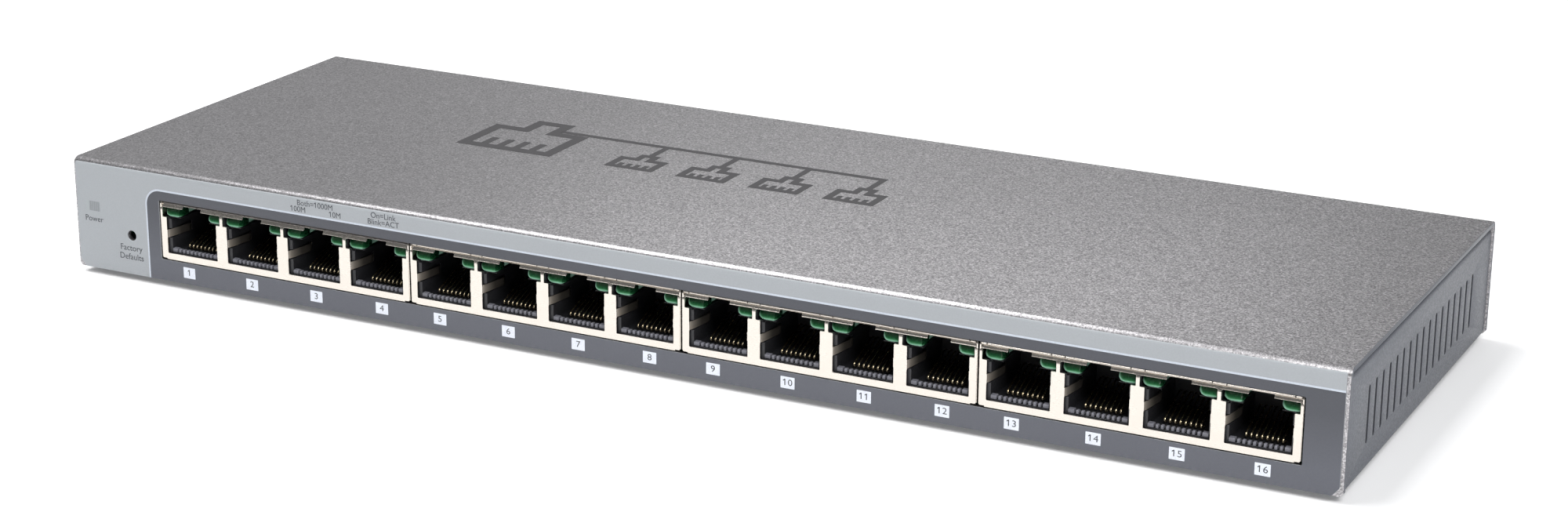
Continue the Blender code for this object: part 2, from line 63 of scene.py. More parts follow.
# ------------------------------------------------------------------ geometry
def lin(r, g, b):
    out = []
    for c in (r, g, b):
        c /= 255.0
        out.append(c / 12.92 if c <= 0.04045 else ((c + 0.055) / 1.055) ** 2.4)
    return out


def box(bm, x0, x1, y0, y1, z0, z1):
    r = bmesh.ops.create_cube(bm, size=1.0)
    for v in r["verts"]:
        v.co = Vector((x0 if v.co.x < 0 else x1, y0 if v.co.y < 0 else y1,
                       z0 if v.co.z < 0 else z1))
    return r["verts"]


def prism(bm, outline, axis, a0, a1):
    def at(p, a):
        if axis == "x":
            return (a, p[0], p[1])
        if axis == "y":
            return (p[0], a, p[1])
        return (p[0], p[1], a)
    low = [bm.verts.new(at(p, a0)) for p in outline]
    face = bm.faces.new(low)
    out = bmesh.ops.extrude_face_region(bm, geom=[face])
    moved = [g for g in out["geom"] if isinstance(g, bmesh.types.BMVert)]
    bmesh.ops.translate(bm, vec=Vector(at((0, 0), a1 - a0)), verts=moved)
    return low + moved


def ring(cx, cy, r, seg, phase=0.5):
    return [(cx + r * math.cos(2 * math.pi * (i + phase) / seg),
             cy + r * math.sin(2 * math.pi * (i + phase) / seg)) for i in range(seg)]


def cylinder(bm, centre, radius, axis, a0, a1, seg=32):
    return prism(bm, ring(centre[0], centre[1], radius, seg), axis, a0, a1)


def fillet(points, radii, seg=6, closed=False):
    """Round the corners of a path; radii has one number per inner corner."""
    n = len(points)
    out = [] if closed else [points[0]]
    rng = range(n) if closed else range(1, n - 1)
    for j, i in enumerate(rng):
        p, r = Vector(points[i]), radii[j]
        a = (Vector(points[i - 1]) - p).normalized()
        b = (Vector(points[(i + 1) % n]) - p).normalized()
        if r <= 0:
            out.append(tuple(p))
            continue
        half = a.angle(b) / 2
        d = r / math.tan(half)
        c = p + (a + b).normalized() * (r / math.sin(half))
        vs, ve = p + a * d - c, p + b * d - c
        turn = vs.angle_signed(ve)
        for k in range(seg + 1):
            t = -turn * k / seg
            out.append((c.x + vs.x * math.cos(t) - vs.y * math.sin(t),
                        c.y + vs.x * math.sin(t) + vs.y * math.cos(t)))
    if not closed:
        out.append(points[-1])
    return out


def rrect(x0, x1, z0, z1, r, seg=6):
    return fillet([(x0, z0), (x1, z0), (x1, z1), (x0, z1)], [r] * 4, seg, closed=True)


def lathe(bm, prof, seg=48, axis="z", centre=(0, 0)):
    """Spin a half profile [(radius, height), ...] into a closed solid."""
    rings = []
    for r, h in prof:
        pts = [(0.0, 0.0)] if r == 0 else [
            (r * math.cos(2 * math.pi * i / seg), r * math.sin(2 * math.pi * i / seg))
            for i in range(seg)]
        vs = []
        for a, b in pts:
            a += centre[0]
            b += centre[1]
            vs.append(bm.verts.new((a, b, h) if axis == "z" else
                                   ((a, h, b) if axis == "y" else (h, a, b))))
        rings.append(vs)
    for a, b in zip(rings, rings[1:]):
        for i in range(seg):
            j = (i + 1) % seg
            if len(a) == 1 and len(b) == 1:
                continue
            if len(a) == 1:
                bm.faces.new((a[0], b[i], b[j]))
            elif len(b) == 1:
                bm.faces.new((a[i], a[j], b[0]))
            else:
                bm.faces.new((a[i], a[j], b[j], b[i]))


def finish_bm(name, bm):
    bmesh.ops.recalc_face_normals(bm, faces=bm.faces)
    bmesh.ops.scale(bm, vec=(MM, MM, MM), verts=bm.verts)
    me = bpy.data.meshes.new(name)
    bm.to_mesh(me)
    bm.free()
    return me


def obj_from(name, me, loc=(0, 0, 0)):
    o = bpy.data.objects.new(name, me)
    o.location = Vector(loc) * MM
    bpy.context.scene.collection.objects.link(o)
    return o


def apply_mods(o):
    bpy.context.view_layer.update()
    deps = bpy.context.evaluated_depsgraph_get()
    me = bpy.data.meshes.new_from_object(o.evaluated_get(deps))
    me.name = o.name
    o.modifiers.clear()
    o.data = me
    return o


def cut(o, bm, op="DIFFERENCE"):
    """Boolean with a throwaway tool, applied at once."""
    tool = obj_from("tool", finish_bm("tool", bm), tuple(c / MM for c in o.location))
    m = o.modifiers.new("cut", "BOOLEAN")
    m.operation, m.solver, m.object = op, "EXACT", tool
    m.use_self = True
    before = [tuple(v) for v in (o.dimensions,)][0]
    apply_mods(o)
    bpy.data.objects.remove(tool, do_unlink=True)
    span = [max(v.co[i] for v in o.data.vertices) - min(v.co[i] for v in o.data.vertices) for i in range(3)]
    if not o.data.polygons or any(a < 0.9 * b for a, b in zip(span, before)):
        raise RuntimeError("a cut lost most of " + o.name)
    return o


def soften(o, width, seg=2, angle=40, weld=True):
    """Small rounded edges, applied to the mesh."""
    if weld:
        bm = bmesh.new()
        bm.from_mesh(o.data)
        bmesh.ops.remove_doubles(bm, verts=bm.verts, dist=1e-6)
        bmesh.ops.dissolve_limit(bm, angle_limit=math.radians(0.5), verts=bm.verts,
                                 edges=bm.edges)
        bm.to_mesh(o.data)
        bm.free()
    m = o.modifiers.new("edge", "BEVEL")
    m.width, m.segments = width * MM, seg
    m.limit_method, m.angle_limit = "ANGLE", math.radians(angle)
    m.use_clamp_overlap = True
    m.harden_normals = False
    apply_mods(o)
    return o


def smooth(o, degrees=38):
    o.data.shade_smooth()
    o.data.set_sharp_from_angle(angle=math.radians(degrees))
    return o


def dress(o, mat, stands_for=(), body=ROOT):
    o.data.materials.clear()
    o.data.materials.append(mat)
    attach(o, body)
    if stands_for:
        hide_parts(*stands_for)
    return o


def sweep(bm, path, section):
    """Closed tube along a path in the YZ plane at given x; section is a list
    of (x offset, normal offset)."""
    n = len(path)
    rings = []
    for i, (x, y, z) in enumerate(path):
        a = Vector(path[max(i - 1, 0)][1:])
        b = Vector(path[min(i + 1, n - 1)][1:])
        t = (b - a).normalized()
        nrm = Vector((-t.y, t.x))
        rings.append([bm.verts.new((x + sx, y + nrm.x * sn, z + nrm.y * sn))
                      for sx, sn in section])
    k = len(section)
    for a, b in zip(rings, rings[1:]):
        for i in range(k):
            bm.faces.new((a[i], a[(i + 1) % k], b[(i + 1) % k], b[i]))
    bm.faces.new(rings[0])
    bm.faces.new(list(reversed(rings[-1])))


def bezier(pts, seg=6):
    """Smooth curve through points (Catmull-Rom)."""
    out = []
    P = [Vector(p) for p in pts]
    P = [P[0] * 2 - P[1]] + P + [P[-1] * 2 - P[-2]]
    for i in range(1, len(P) - 2):
        for k in range(seg):
            t = k / seg
            a, b, c, d = P[i - 1], P[i], P[i + 1], P[i + 2]
            out.append(tuple(0.5 * ((2 * b) + (c - a) * t + (2 * a - 5 * b + 4 * c - d) * t * t
                                    + (3 * b - a - 3 * c + d) * t ** 3)))
    out.append(tuple(P[-2]))
    return out


def text_mesh(body, size, depth, align="CENTER", spacing=1.0):
    """Flat raised lettering as a mesh in the XY plane, millimetres."""
    cu = bpy.data.curves.new("t", "FONT")
    cu.body, cu.size = body, size
    cu.align_x, cu.align_y = align, "CENTER"
    cu.extrude = depth / 2
    cu.resolution_u = 4
    cu.space_character = spacing
    o = bpy.data.objects.new("t", cu)
    bpy.context.scene.collection.objects.link(o)
    bpy.context.view_layer.update()
    me = bpy.data.meshes.new_from_object(o.evaluated_get(bpy.context.evaluated_depsgraph_get()))
    bpy.data.objects.remove(o, do_unlink=True)
    bpy.data.curves.remove(cu)
    return me


def add_text(bm, body, size, x, z, y0, depth, align="CENTER", spacing=1.0, plane="front", wide=1.0):
    me = text_mesh(body, size, depth, align, spacing)
    t = bmesh.new()
    t.from_mesh(me)
    bmesh.ops.remove_doubles(t, verts=t.verts, dist=1e-5)
    bmesh.ops.scale(t, verts=t.verts, vec=(wide, 1, 1))
    if "1" in body:           # a short flag on each figure 1
        done, zlo, zhi = set(), -depth / 2, depth / 2
        stems = []
        for v in list(t.verts):
            if v.index in done or v in done:
                continue
            stack, isle = [v], set()
            while stack:
                w = stack.pop()
                if w in isle:
                    continue
                isle.add(w)
                stack += [e.other_vert(w) for e in w.link_edges]
            done |= isle
            xs, ys = [w.co.x for w in isle], [w.co.y for w in isle]
            if max(xs) - min(xs) < 0.2 * size * wide and max(ys) - min(ys) > 0.5 * size:
                stems.append((min(xs), max(ys)))
        for sx, sy in stems:
            q = [(sx + 0.02, sy), (sx + 0.02, sy - 0.15 * size), (sx - 0.155 * size, sy - 0.235 * size),
                 (sx - 0.155 * size, sy - 0.12 * size)]
            lo_v = [t.verts.new((x_, y_, zlo)) for x_, y_ in q]
            hi_v = [t.verts.new((x_, y_, zhi)) for x_, y_ in q]
            t.faces.new(lo_v)
            t.faces.new(hi_v[::-1])
            for i in range(4):
                j = (i + 1) % 4
                t.faces.new((lo_v[i], hi_v[i], hi_v[j], lo_v[j]))
    if plane == "front":      # faces -Y
        bmesh.ops.rotate(t, verts=t.verts, cent=(0, 0, 0), matrix=Matrix.Rotation(math.pi / 2, 3, "X"))
        bmesh.ops.translate(t, verts=t.verts, vec=(x, y0 - depth / 2, z))
    else:                     # faces +Z
        bmesh.ops.translate(t, verts=t.verts, vec=(x, z, y0 + depth / 2))
    tmp = bpy.data.meshes.new("tmp")
    t.to_mesh(tmp)
    t.free()
    bm.from_mesh(tmp)
    bpy.data.meshes.remove(tmp)
    bpy.data.meshes.remove(me)


# ----------------------------------------------------------------- materials
class Mat:
    """Small helper around one Principled material."""

    def __init__(self, name, rough, metal=0.0):
        self.m = bpy.data.materials.new(name)
        self.m.use_nodes = True
        self.nt = self.m.node_tree
        self.b = self.nt.nodes["Principled BSDF"]
        self.b.inputs["Metallic"].default_value = metal
        self.b.inputs["Roughness"].default_value = rough
        self.tc = self.nt.nodes.new("ShaderNodeTexCoord")

    def node(self, kind, **kw):
        n = self.nt.nodes.new(kind)
        for k, v in kw.items():
            setattr(n, k, v)
        return n

    def link(self, a, b):
        self.nt.links.new(a, b)

    def mapping(self, scale=(1, 1, 1)):
        mp = self.node("ShaderNodeMapping")
        mp.inputs["Scale"].default_value = scale
        self.link(self.tc.outputs["Object"], mp.inputs["Vector"])
        return mp.outputs["Vector"]

    def noise(self, scale, detail=2.0, rough=0.5, vec=None):
        n = self.node("ShaderNodeTexNoise")
        n.inputs["Scale"].default_value = scale
        n.inputs["Detail"].default_value = detail
        n.inputs["Roughness"].default_value = rough
        self.link(vec or self.tc.outputs["Object"], n.inputs["Vector"])
        return n.outputs["Fac"]

    def cells(self, scale, vec=None):
        """One random value per cell."""
        v = self.node("ShaderNodeTexVoronoi")
        v.inputs["Scale"].default_value = scale
        self.link(vec or self.tc.outputs["Object"], v.inputs["Vector"])
        s = self.node("ShaderNodeSeparateColor")
        self.link(v.outputs["Color"], s.inputs["Color"])
        return s.outputs["Red"]

    def remap(self, fac, a, b, lo=0.0, hi=1.0):
        r = self.node("ShaderNodeMapRange")
        r.inputs["From Min"].default_value = lo
        r.inputs["From Max"].default_value = hi
        r.inputs["To Min"].default_value = a
        r.inputs["To Max"].default_value = b
        self.link(fac, r.inputs["Value"])
        return r.outputs["Result"]

    def math(self, op, a, b):
        n = self.node("ShaderNodeMath", operation=op)
        for s, v in zip(n.inputs, (a, b)):
            if isinstance(v, (int, float)):
                s.default_value = v
            else:
                self.link(v, s)
        return n.outputs["Value"]

    def ramp(self, fac, stops):
        r = self.node("ShaderNodeValToRGB")
        e = r.color_ramp.elements
        e[0].position, e[0].color = stops[0][0], list(stops[0][1]) + [1]
        e[1].position, e[1].color = stops[-1][0], list(stops[-1][1]) + [1]
        for p, c in stops[1:-1]:
            x = e.new(p)
            x.color = list(c) + [1]
        self.link(fac, r.inputs["Fac"])
        return r.outputs["Color"]

    def mix(self, fac, a, b, mode="MIX"):
        n = self.node("ShaderNodeMix", data_type="RGBA", blend_type=mode)
        for s, v in ((n.inputs[0], fac), (n.inputs[6], a), (n.inputs[7], b)):
            if isinstance(v, (int, float)):
                s.default_value = v
            elif isinstance(v, (list, tuple)):
                s.default_value = list(v) + [1]
            else:
                self.link(v, s)
        return n.outputs[2]

    def color(self, out):
        self.link(out, self.b.inputs["Base Color"])

    def rough(self, out):
        self.link(out, self.b.inputs["Roughness"])

    def bump(self, height, strength, distance_mm):
        n = self.node("ShaderNodeBump")
        n.inputs["Strength"].default_value = strength
        n.inputs["Distance"].default_value = distance_mm * MM
        self.link(height, n.inputs["Height"])
        self.link(n.outputs["Normal"], self.b.inputs["Normal"])

    def set(self, **kw):
        for k, v in kw.items():
            self.b.inputs[k.replace("_", " ")].default_value = v
        return self


def scaled(c, k):
    return [min(1.0, x * k) for x in c]


def metallic_paint(name, rgb, metal, rough, grain=0.3, contrast=0.3, bump=0.3):
    """Powder coat with fine flake: soft speckle over a slight orange peel."""
    m = Mat(name, rough, metal)
    base = lin(*rgb)
    speck = m.noise(1000.0 / grain, 1.0, 0.5)
    fine = m.noise(2000.0 / grain, 2.0, 0.6)
    cell = m.cells(1000.0 / (grain * 0.8))
    mixed = m.math("ADD", m.math("MULTIPLY", speck, 0.55),
                   m.math("ADD", m.math("MULTIPLY", fine, 0.25), m.math("MULTIPLY", cell, 0.2)))
    col = m.ramp(mixed, [(0.28, scaled(base, 1 - contrast)), (0.47, scaled(base, 1 - contrast * 0.15)),
                         (0.62, scaled(base, 1 + contrast)), (0.76, scaled(base, 1 + contrast * 2.4))])
    cloud = m.remap(m.noise(9.0, 3.0, 0.6), 0.96, 1.04, 0.3, 0.7)
    n = m.node("ShaderNodeMix", data_type="RGBA", blend_type="MULTIPLY")
    n.inputs[0].default_value = 1.0
    m.link(col, n.inputs[6])
    m.link(cloud, n.inputs[7])
    m.color(n.outputs[2])
    m.rough(m.remap(speck, rough + 0.08, rough - 0.08, 0.3, 0.7))
    m.bump(m.math("ADD", m.math("MULTIPLY", speck, 0.8), m.math("MULTIPLY", fine, 0.4)), bump, 0.04)
    return m.m


def printed_film(name, rgb, rough=0.42, grain=0.05, metal=0.0, scale=2600.0, bump=0.08, painted_shade_ramp=None):
    m = Mat(name, rough, metal)
    base = lin(*rgb)
    g = m.noise(scale, 4.0, 0.75)
    big = m.noise(30.0, 2.0, 0.5)
    k = m.math("ADD", m.math("MULTIPLY", g, 0.8), m.math("MULTIPLY", big, 0.2))
    shade = m.ramp(k, [(0.25, scaled(base, 1 - grain)), (0.5, base), (0.75, scaled(base, 1 + grain))])
    if painted_shade_ramp:                  # painted shade: the colour darkens from one height to another
        z0, z1, low = painted_shade_ramp
        sep = m.node("ShaderNodeSeparateXYZ")
        m.link(m.tc.outputs["Object"], sep.inputs["Vector"])
        f = m.remap(sep.outputs["Z"], 0.0, 1.0, z0 * MM, z1 * MM)
        shade = m.mix(f, shade, m.ramp(k, [(0.25, scaled(base, low * (1 - grain))), (0.75, scaled(base, low * (1 + grain)))]))
    m.color(shade)
    m.rough(m.remap(big, rough - 0.05, rough + 0.06, 0.3, 0.7))
    m.bump(g, bump, 0.02)
    return m.m


def ink(name, rgb, rough=0.5):
    m = Mat(name, rough)
    base = lin(*rgb)
    g = m.noise(5200.0, 2.0, 0.6)
    m.color(m.ramp(g, [(0.3, scaled(base, 0.9)), (0.7, scaled(base, 1.08))]))
    m.rough(m.remap(g, rough - 0.06, rough + 0.06))
    return m.m


def plated(name, rgb, rough=0.26, streak=(60.0, 60.0, 900.0), bump=0.05, metal=1.0, painted_shade_ramp=None):
    m = Mat(name, rough, metal)
    base = lin(*rgb)
    s = m.noise(8.0, 4.0, 0.6, m.mapping(streak))
    blotch = m.noise(140.0, 3.0, 0.6)
    k = m.math("ADD", m.math("MULTIPLY", s, 0.5), m.math("MULTIPLY", blotch, 0.5))
    shade = m.ramp(k, [(0.3, scaled(base, 0.93)), (0.55, base), (0.8, scaled(base, 1.04))])
    if painted_shade_ramp:                  # painted shade: darker with depth from the front
        y0, y1, low = painted_shade_ramp
        sep = m.node("ShaderNodeSeparateXYZ")
        m.link(m.tc.outputs["Object"], sep.inputs["Vector"])
        f = m.math("POWER", m.remap(sep.outputs["Y"], 0.0, 1.0, y0 * MM, y1 * MM), 0.5)
        shade = m.mix(f, shade, tuple(scaled(base, low)))
    m.color(shade)
    m.rough(m.remap(k, rough - 0.07, rough + 0.1, 0.3, 0.7))
    m.bump(s, bump, 0.01)
    return m.m


def moulded(name, rgb, rough=0.45, grain=1800.0, bump=0.12, vary=0.18):
    m = Mat(name, rough)
    base = lin(*rgb)
    g = m.noise(grain, 3.0, 0.6)
    b = m.noise(60.0, 3.0, 0.5)
    m.color(m.ramp(b, [(0.3, scaled(base, 1 - vary)), (0.7, scaled(base, 1 + vary))]))
    m.rough(m.remap(g, rough - 0.08, rough + 0.1, 0.3, 0.7))
    m.bump(g, bump, 0.02)
    return m.m


COVER_PAINT = metallic_paint("cover_paint_flake", (158, 156, 158), 0.88, 0.38, 0.38, 0.50, 0.38)
EDGE_PAINT = printed_film("cover_edge_paint", (66, 70, 80), 0.42, 0.22, 0.1, 1500.0, 0.12)
# dark paint for the inner walls of the side vent slots: painted shade
SLOT_PAINTED_SHADE = printed_film("slot_wall_painted_shade", (52, 54, 60), 0.55, 0.1)
CHASSIS_PAINT = metallic_paint("chassis_paint_matte", (90, 93, 100), 0.1, 0.5, 0.34, 0.10, 0.2)
FILM_SILVER = printed_film("overlay_silver", (158, 162, 166), 0.42, 0.06, 0.0)
# the slate field darkens from 6 mm up to 17 mm height: painted shade
FILM_DARK = printed_film("overlay_slate", (90, 92, 100), 0.5, 0.08, painted_shade_ramp=(6.0, 17.0, 0.66))
INK_PALE = ink("ink_pale", (192, 199, 209))
INK_TAG = ink("ink_tag", (226, 230, 240))
INK_DARK = ink("ink_dark_grey", (62, 64, 69))
INK_TOP = ink("ink_top_grey", (54, 53, 55), 0.6)
NICKEL = plated("nickel_plate", (219, 212, 203), 0.24)
# darker copy of the shield nickel for the lip slope: painted shade
NICKEL_LIP_SHADED = plated("nickel_lip_painted_shade", (132, 129, 126), 0.42, (60.0, 60.0, 900.0), 0.03, 0.5)
# spring nickel darkens with depth behind the front: painted shade
NICKEL_EDGE = plated("nickel_spring_painted_shade", (196, 186, 174), 0.40, (40.0, 40.0, 300.0), 0.03, 0.6,
                     painted_shade_ramp=(-50.2, -46.5, 0.14))
BLACK = moulded("black_plastic_moulded", (34, 34, 37), 0.40)
COMB_GREY = moulded("comb_plastic", (118, 118, 126), 0.35, 2400.0, 0.06, 0.08)
RUBBER = moulded("rubber_foot_skin", (34, 34, 36), 0.8, 900.0, 0.3)
ZINC = plated("zinc_plate", (200, 202, 206), 0.32, (300.0, 300.0, 300.0))


def make_gold():
    m = Mat("gold_flash_painted_shade", 0.22, 1.0)
    n = m.noise(900.0, 3.0, 0.6)
    sep = m.node("ShaderNodeSeparateXYZ")
    m.link(m.tc.outputs["Object"], sep.inputs["Vector"])
    # painted shade: the gold darkens to brown from 9.1 to 9.9 mm height, deeper in the jack
    back = m.remap(sep.outputs["Z"], 0.0, 1.0, 9.1 * MM, 9.9 * MM)
    tip = m.ramp(n, [(0.3, (0.80, 0.66, 0.42)), (0.7, (0.92, 0.80, 0.56))])
    m.color(m.mix(back, tip, tuple([0.26, 0.19, 0.10])))
    m.rough(m.remap(n, 0.2, 0.34))
    return m.m


def make_lens():
    """Acrylic bar: dark crown and paler belly painted from a per-vertex value; the dark crown, sides and back are
    painted shade, the pale belly a painted highlight.
    """
    m = Mat("green_lens_acrylic", 0.28)
    at = m.node("ShaderNodeAttribute", attribute_name="lens_painted_light", attribute_type="GEOMETRY")
    n = m.noise(900.0, 2.0, 0.5)
    k = m.math("ADD", at.outputs["Fac"], m.math("MULTIPLY", m.math("SUBTRACT", n, 0.5), 0.10))
    m.color(m.ramp(k, [(0.0, lin(150, 190, 170)), (0.10, lin(130, 176, 152)), (0.24, lin(92, 146, 114)),
                       (0.31, lin(44, 98, 60)), (0.42, lin(24, 74, 42)), (0.65, lin(14, 54, 30)),
                       (0.95, lin(8, 38, 22))]))
    m.rough(m.remap(n, 0.2, 0.34))
    m.set(IOR=1.45, Specular_IOR_Level=0.35)
    return m.m


def make_frost():
    m = Mat("frosted_window", 0.35)
    sep = m.node("ShaderNodeSeparateXYZ")
    m.link(m.tc.outputs["Object"], sep.inputs["Vector"])
    w = m.node("ShaderNodeTexWave", bands_direction="X")
    w.inputs["Scale"].default_value = 620.0
    m.link(m.tc.outputs["Object"], w.inputs["Vector"])
    n = m.noise(2000.0, 2.0, 0.6)
    k = m.math("ADD", m.math("MULTIPLY", w.outputs["Fac"], 0.5), m.math("MULTIPLY", n, 0.5))
    body = m.ramp(k, [(0.2, lin(124, 128, 131)), (0.8, lin(142, 147, 150))])
    right = m.math("GREATER_THAN", sep.outputs["X"], (LIGHT_X - 1.05) * MM)
    m.color(m.mix(right, tuple(lin(158, 164, 166)), body))
    m.set(IOR=1.5)
    return m.m


def make_board():
    m = Mat("board_mask", 0.35)
    br = m.node("ShaderNodeTexBrick")
    br.inputs["Scale"].default_value = 260.0
    br.inputs["Mortar Size"].default_value = 0.03
    br.inputs["Color1"].default_value = lin(22, 82, 50) + [1]
    br.inputs["Color2"].default_value = lin(26, 92, 56) + [1]
    br.inputs["Mortar"].default_value = lin(46, 120, 76) + [1]
    m.link(m.tc.outputs["Object"], br.inputs["Vector"])
    n = m.noise(300.0, 3.0, 0.6)
    m.color(m.mix(m.remap(n, 0.0, 0.4), br.outputs["Color"], lin(16, 66, 40)))
    m.rough(m.remap(n, 0.28, 0.45))
    return m.m


def make_floor():
    m = Mat("floor_pale", 0.6)
    n = m.noise(3.0, 2.0, 0.5)
    m.color(m.ramp(n, [(0.3, (0.88, 0.88, 0.885)), (0.7, (0.92, 0.92, 0.925))]))
    m.set(Emission_Color=(1.0, 1.0, 1.0, 1.0), Emission_Strength=0.14)
    return m.m


GOLD, LENS, FROST, BOARD = make_gold(), make_lens(), make_frost(), make_board()
CHIP = moulded("epoxy_black", (36, 36, 39), 0.5, 2600.0, 0.1)
FINS = moulded("anodised_fins", (44, 46, 50), 0.35, 1500.0, 0.05)
SLEEVE = moulded("sleeve_navy", (34, 38, 66), 0.3, 500.0, 0.03)

# ================================================================ top cover
outer = fillet([(FRONT_Y, COVER_BOTTOM), (FRONT_Y, Z_TOP), (HALF_D, Z_TOP), (HALF_D, COVER_BOTTOM)],
               [LID_R, LID_R], 14)
inner = fillet([(HALF_D - SHEET, COVER_BOTTOM), (HALF_D - SHEET, Z_TOP - SHEET),
                (FRONT_Y + SHEET, Z_TOP - SHEET), (FRONT_Y + SHEET, COVER_BOTTOM)],
               [LID_R - SHEET, LID_R - SHEET], 5)
bm = bmesh.new()
prism(bm, outer + inner, "x", -HALF_W, HALF_W)
cover = obj_from("cover_shell", finish_bm("cover_shell", bm))
bm = bmesh.new()
for sx in (-1, 1):
    cx = sx * COVER_SCREW[0]
    box(bm, cx - 6, cx + 6, FRONT_Y + 0.4, -39.5, 2.6, 3.6)
    box(bm, cx - 6, cx + 6, 39.5, HALF_D - 0.4, 2.6, 3.6)
cut(cover, bm, "UNION")
bm = bmesh.new()
prism(bm, rrect(BANK_X0 - 0.3, BANK_X1 + 0.3, SHIELD_Z[0] - 0.3, SHIELD_Z[1] + 0.12, 0.35, 4), "y", -52, -48)
prism(bm, rrect(LIGHT_X - 1.9, LIGHT_X + 1.9, LIGHT_ZC - 1.2, LIGHT_ZC + 1.2, 0.2, 3), "y", -52, -48)
cylinder(bm, RESET, 1.15, "y", -52, -48, 40)
cylinder(bm, (JACK_X, JACK_Z), 4.0, "y", 48, 52, 56)
prism(bm, rrect(LOCK_X - 3.5, LOCK_X + 3.5, LOCK_Z - 1.5, LOCK_Z + 1.5, 0.7, 5), "y", 48, 52)
for sx in (-1, 1):
    for sy in (-1, 1):
        cylinder(bm, (sx * COVER_SCREW[0], sy * COVER_SCREW[1]), 1.9, "z", 2.0, 4.2, 24)
for sx in (-1, 1):
    x0, x1 = sx * (HALF_W - 1.6), sx * (HALF_W + 1)
    for y0, y1 in ((-52, -48.5), (48.8, 52)):
        prism(bm, [(x0, COVER_BOTTOM - 1), (x1, COVER_BOTTOM - 1), (x1, COVER_BOTTOM + 1.8)], "y", y0, y1)
cut(cover, bm)
soften(cover, 0.13, 2)
smooth(cover, 30)
dress(cover, COVER_PAINT, ("top_cover",))
cover.data.materials.append(EDGE_PAINT)      # the sheared ends carry a thinner, darker coat
for p in cover.data.polygons:
    if abs(p.normal.x) > 0.8 and abs(p.center.x) > (HALF_W - 0.5) * MM:
        p.material_index = 1

# ============================================================= base chassis
SIDE_X, SIDE_TOP, FLANGE_X = 142.6, 24.3, 136.8
outer = fillet([(FLANGE_X, SIDE_TOP), (SIDE_X, SIDE_TOP), (SIDE_X, Z_BASE),
                (-SIDE_X, Z_BASE), (-SIDE_X, SIDE_TOP), (-FLANGE_X, SIDE_TOP)], [BEND_R] * 4, 8)
inner = fillet([(-FLANGE_X, SIDE_TOP - SHEET), (-SIDE_X + SHEET, SIDE_TOP - SHEET),
                (-SIDE_X + SHEET, Z_BASE + SHEET), (SIDE_X - SHEET, Z_BASE + SHEET),
                (SIDE_X - SHEET, SIDE_TOP - SHEET), (FLANGE_X, SIDE_TOP - SHEET)], [0.25] * 4, 3)
bm = bmesh.new()
prism(bm, outer + inner, "y", -48.85, 49.2)
base = obj_from("base_tray", finish_bm("base_tray", bm))
PCB_SCREW = ((-134.0, -18.0), (134.0, -18.0), (-134.0, 33.0), (134.0, 33.0))
bm = bmesh.new()
for x, y in PCB_SCREW:
    cylinder(bm, (x, y), 3.4, "z", Z_BASE + 0.5, 4.2, 32)
cut(base, bm, "UNION")
bm = bmesh.new()
for i in range(17):
    y = (i - 8) * 4.5
    prism(bm, rrect(y - 0.55, y + 0.55, 6.9, 18.4, 0.54, 6), "x", -150, 150)
for x, y in PCB_SCREW:
    cylinder(bm, (x, y), 1.7, "z", Z_BASE + 0.45, 5.0, 24)
for sx in (-1, 1):
    for sy in (-1, 1):
        cylinder(bm, (sx * COVER_SCREW[0], sy * COVER_SCREW[1]), 1.9, "z", 0, 3.0, 24)
    cx = sx * 62.0
    key = [(cx + 1.9, 11.0), (cx + 1.9, 3.5)]
    for k in range(21):
        a = math.radians(61.6 - (61.6 * 2 + 180 - 0.0) * 0 - k * (360 - 2 * 28.4) / 20)
        key.append((cx + 4.0 * math.cos(a), 4.0 * math.sin(a)))
    key += [(cx - 1.9, 3.5), (cx - 1.9, 11.0)]
    for k in range(1, 8):
        a = math.pi - math.pi * k / 8
        key.append((cx + 1.9 * math.cos(a), 11.0 + 1.9 * math.sin(a)))
    prism(bm, key, "z", 0, 3.0)
cut(base, bm)
soften(base, 0.12, 2)
smooth(base, 30)
dress(base, CHASSIS_PAINT, ("base_chassis",))
# faces inside the side vent slots get the darker paint: painted shade in the slots
base.data.materials.append(SLOT_PAINTED_SHADE)
for p in base.data.polygons:
    c_ = p.center / MM
    if abs(c_.x) > SIDE_X - SHEET - 0.1 and 6.5 < c_.z < 18.8 and abs(p.normal.x) < 0.5:
        p.material_index = 1

# ============================================================ front overlay
def plate(name, outer_pts, holes, y0, y1, edge=0.0):
    """Flat sheet in the XZ plane between y0 and y1, with holes."""
    b = bmesh.new()
    prism(b, outer_pts, "y", y0, y1)
    o = obj_from(name, finish_bm(name, b))
    if holes:
        b = bmesh.new()
        for h in holes:
            prism(b, h, "y", y0 - 1.0, y1 + 1.0)
        cut(o, b)
    if edge:
        soften(o, edge, 1)
    return o


window = rrect(BANK_X0 - 0.3, BANK_X1 + 0.3, SHIELD_Z[0] - 0.3, SHIELD_Z[1] + 0.12, 0.35, 4)
pin_hole = ring(RESET[0], RESET[1], 1.15, 40)
c = 1.4
film_outline = [(LABEL_X[0] + c, LABEL_Z[0]), (LABEL_X[1] - c, LABEL_Z[0]),
                (LABEL_X[1], LABEL_Z[0] + c + 0.3), (LABEL_X[1], LABEL_Z[1]),
                (LABEL_X[0], LABEL_Z[1]), (LABEL_X[0], LABEL_Z[0] + c + 0.3)]
film_outline = fillet(film_outline, [0.5, 0.5, 0.5, 0.3, 0.3, 0.5], 4, closed=True)
film = plate("overlay_film", film_outline, [window, pin_hole], -50.45, -50.2, 0.04)
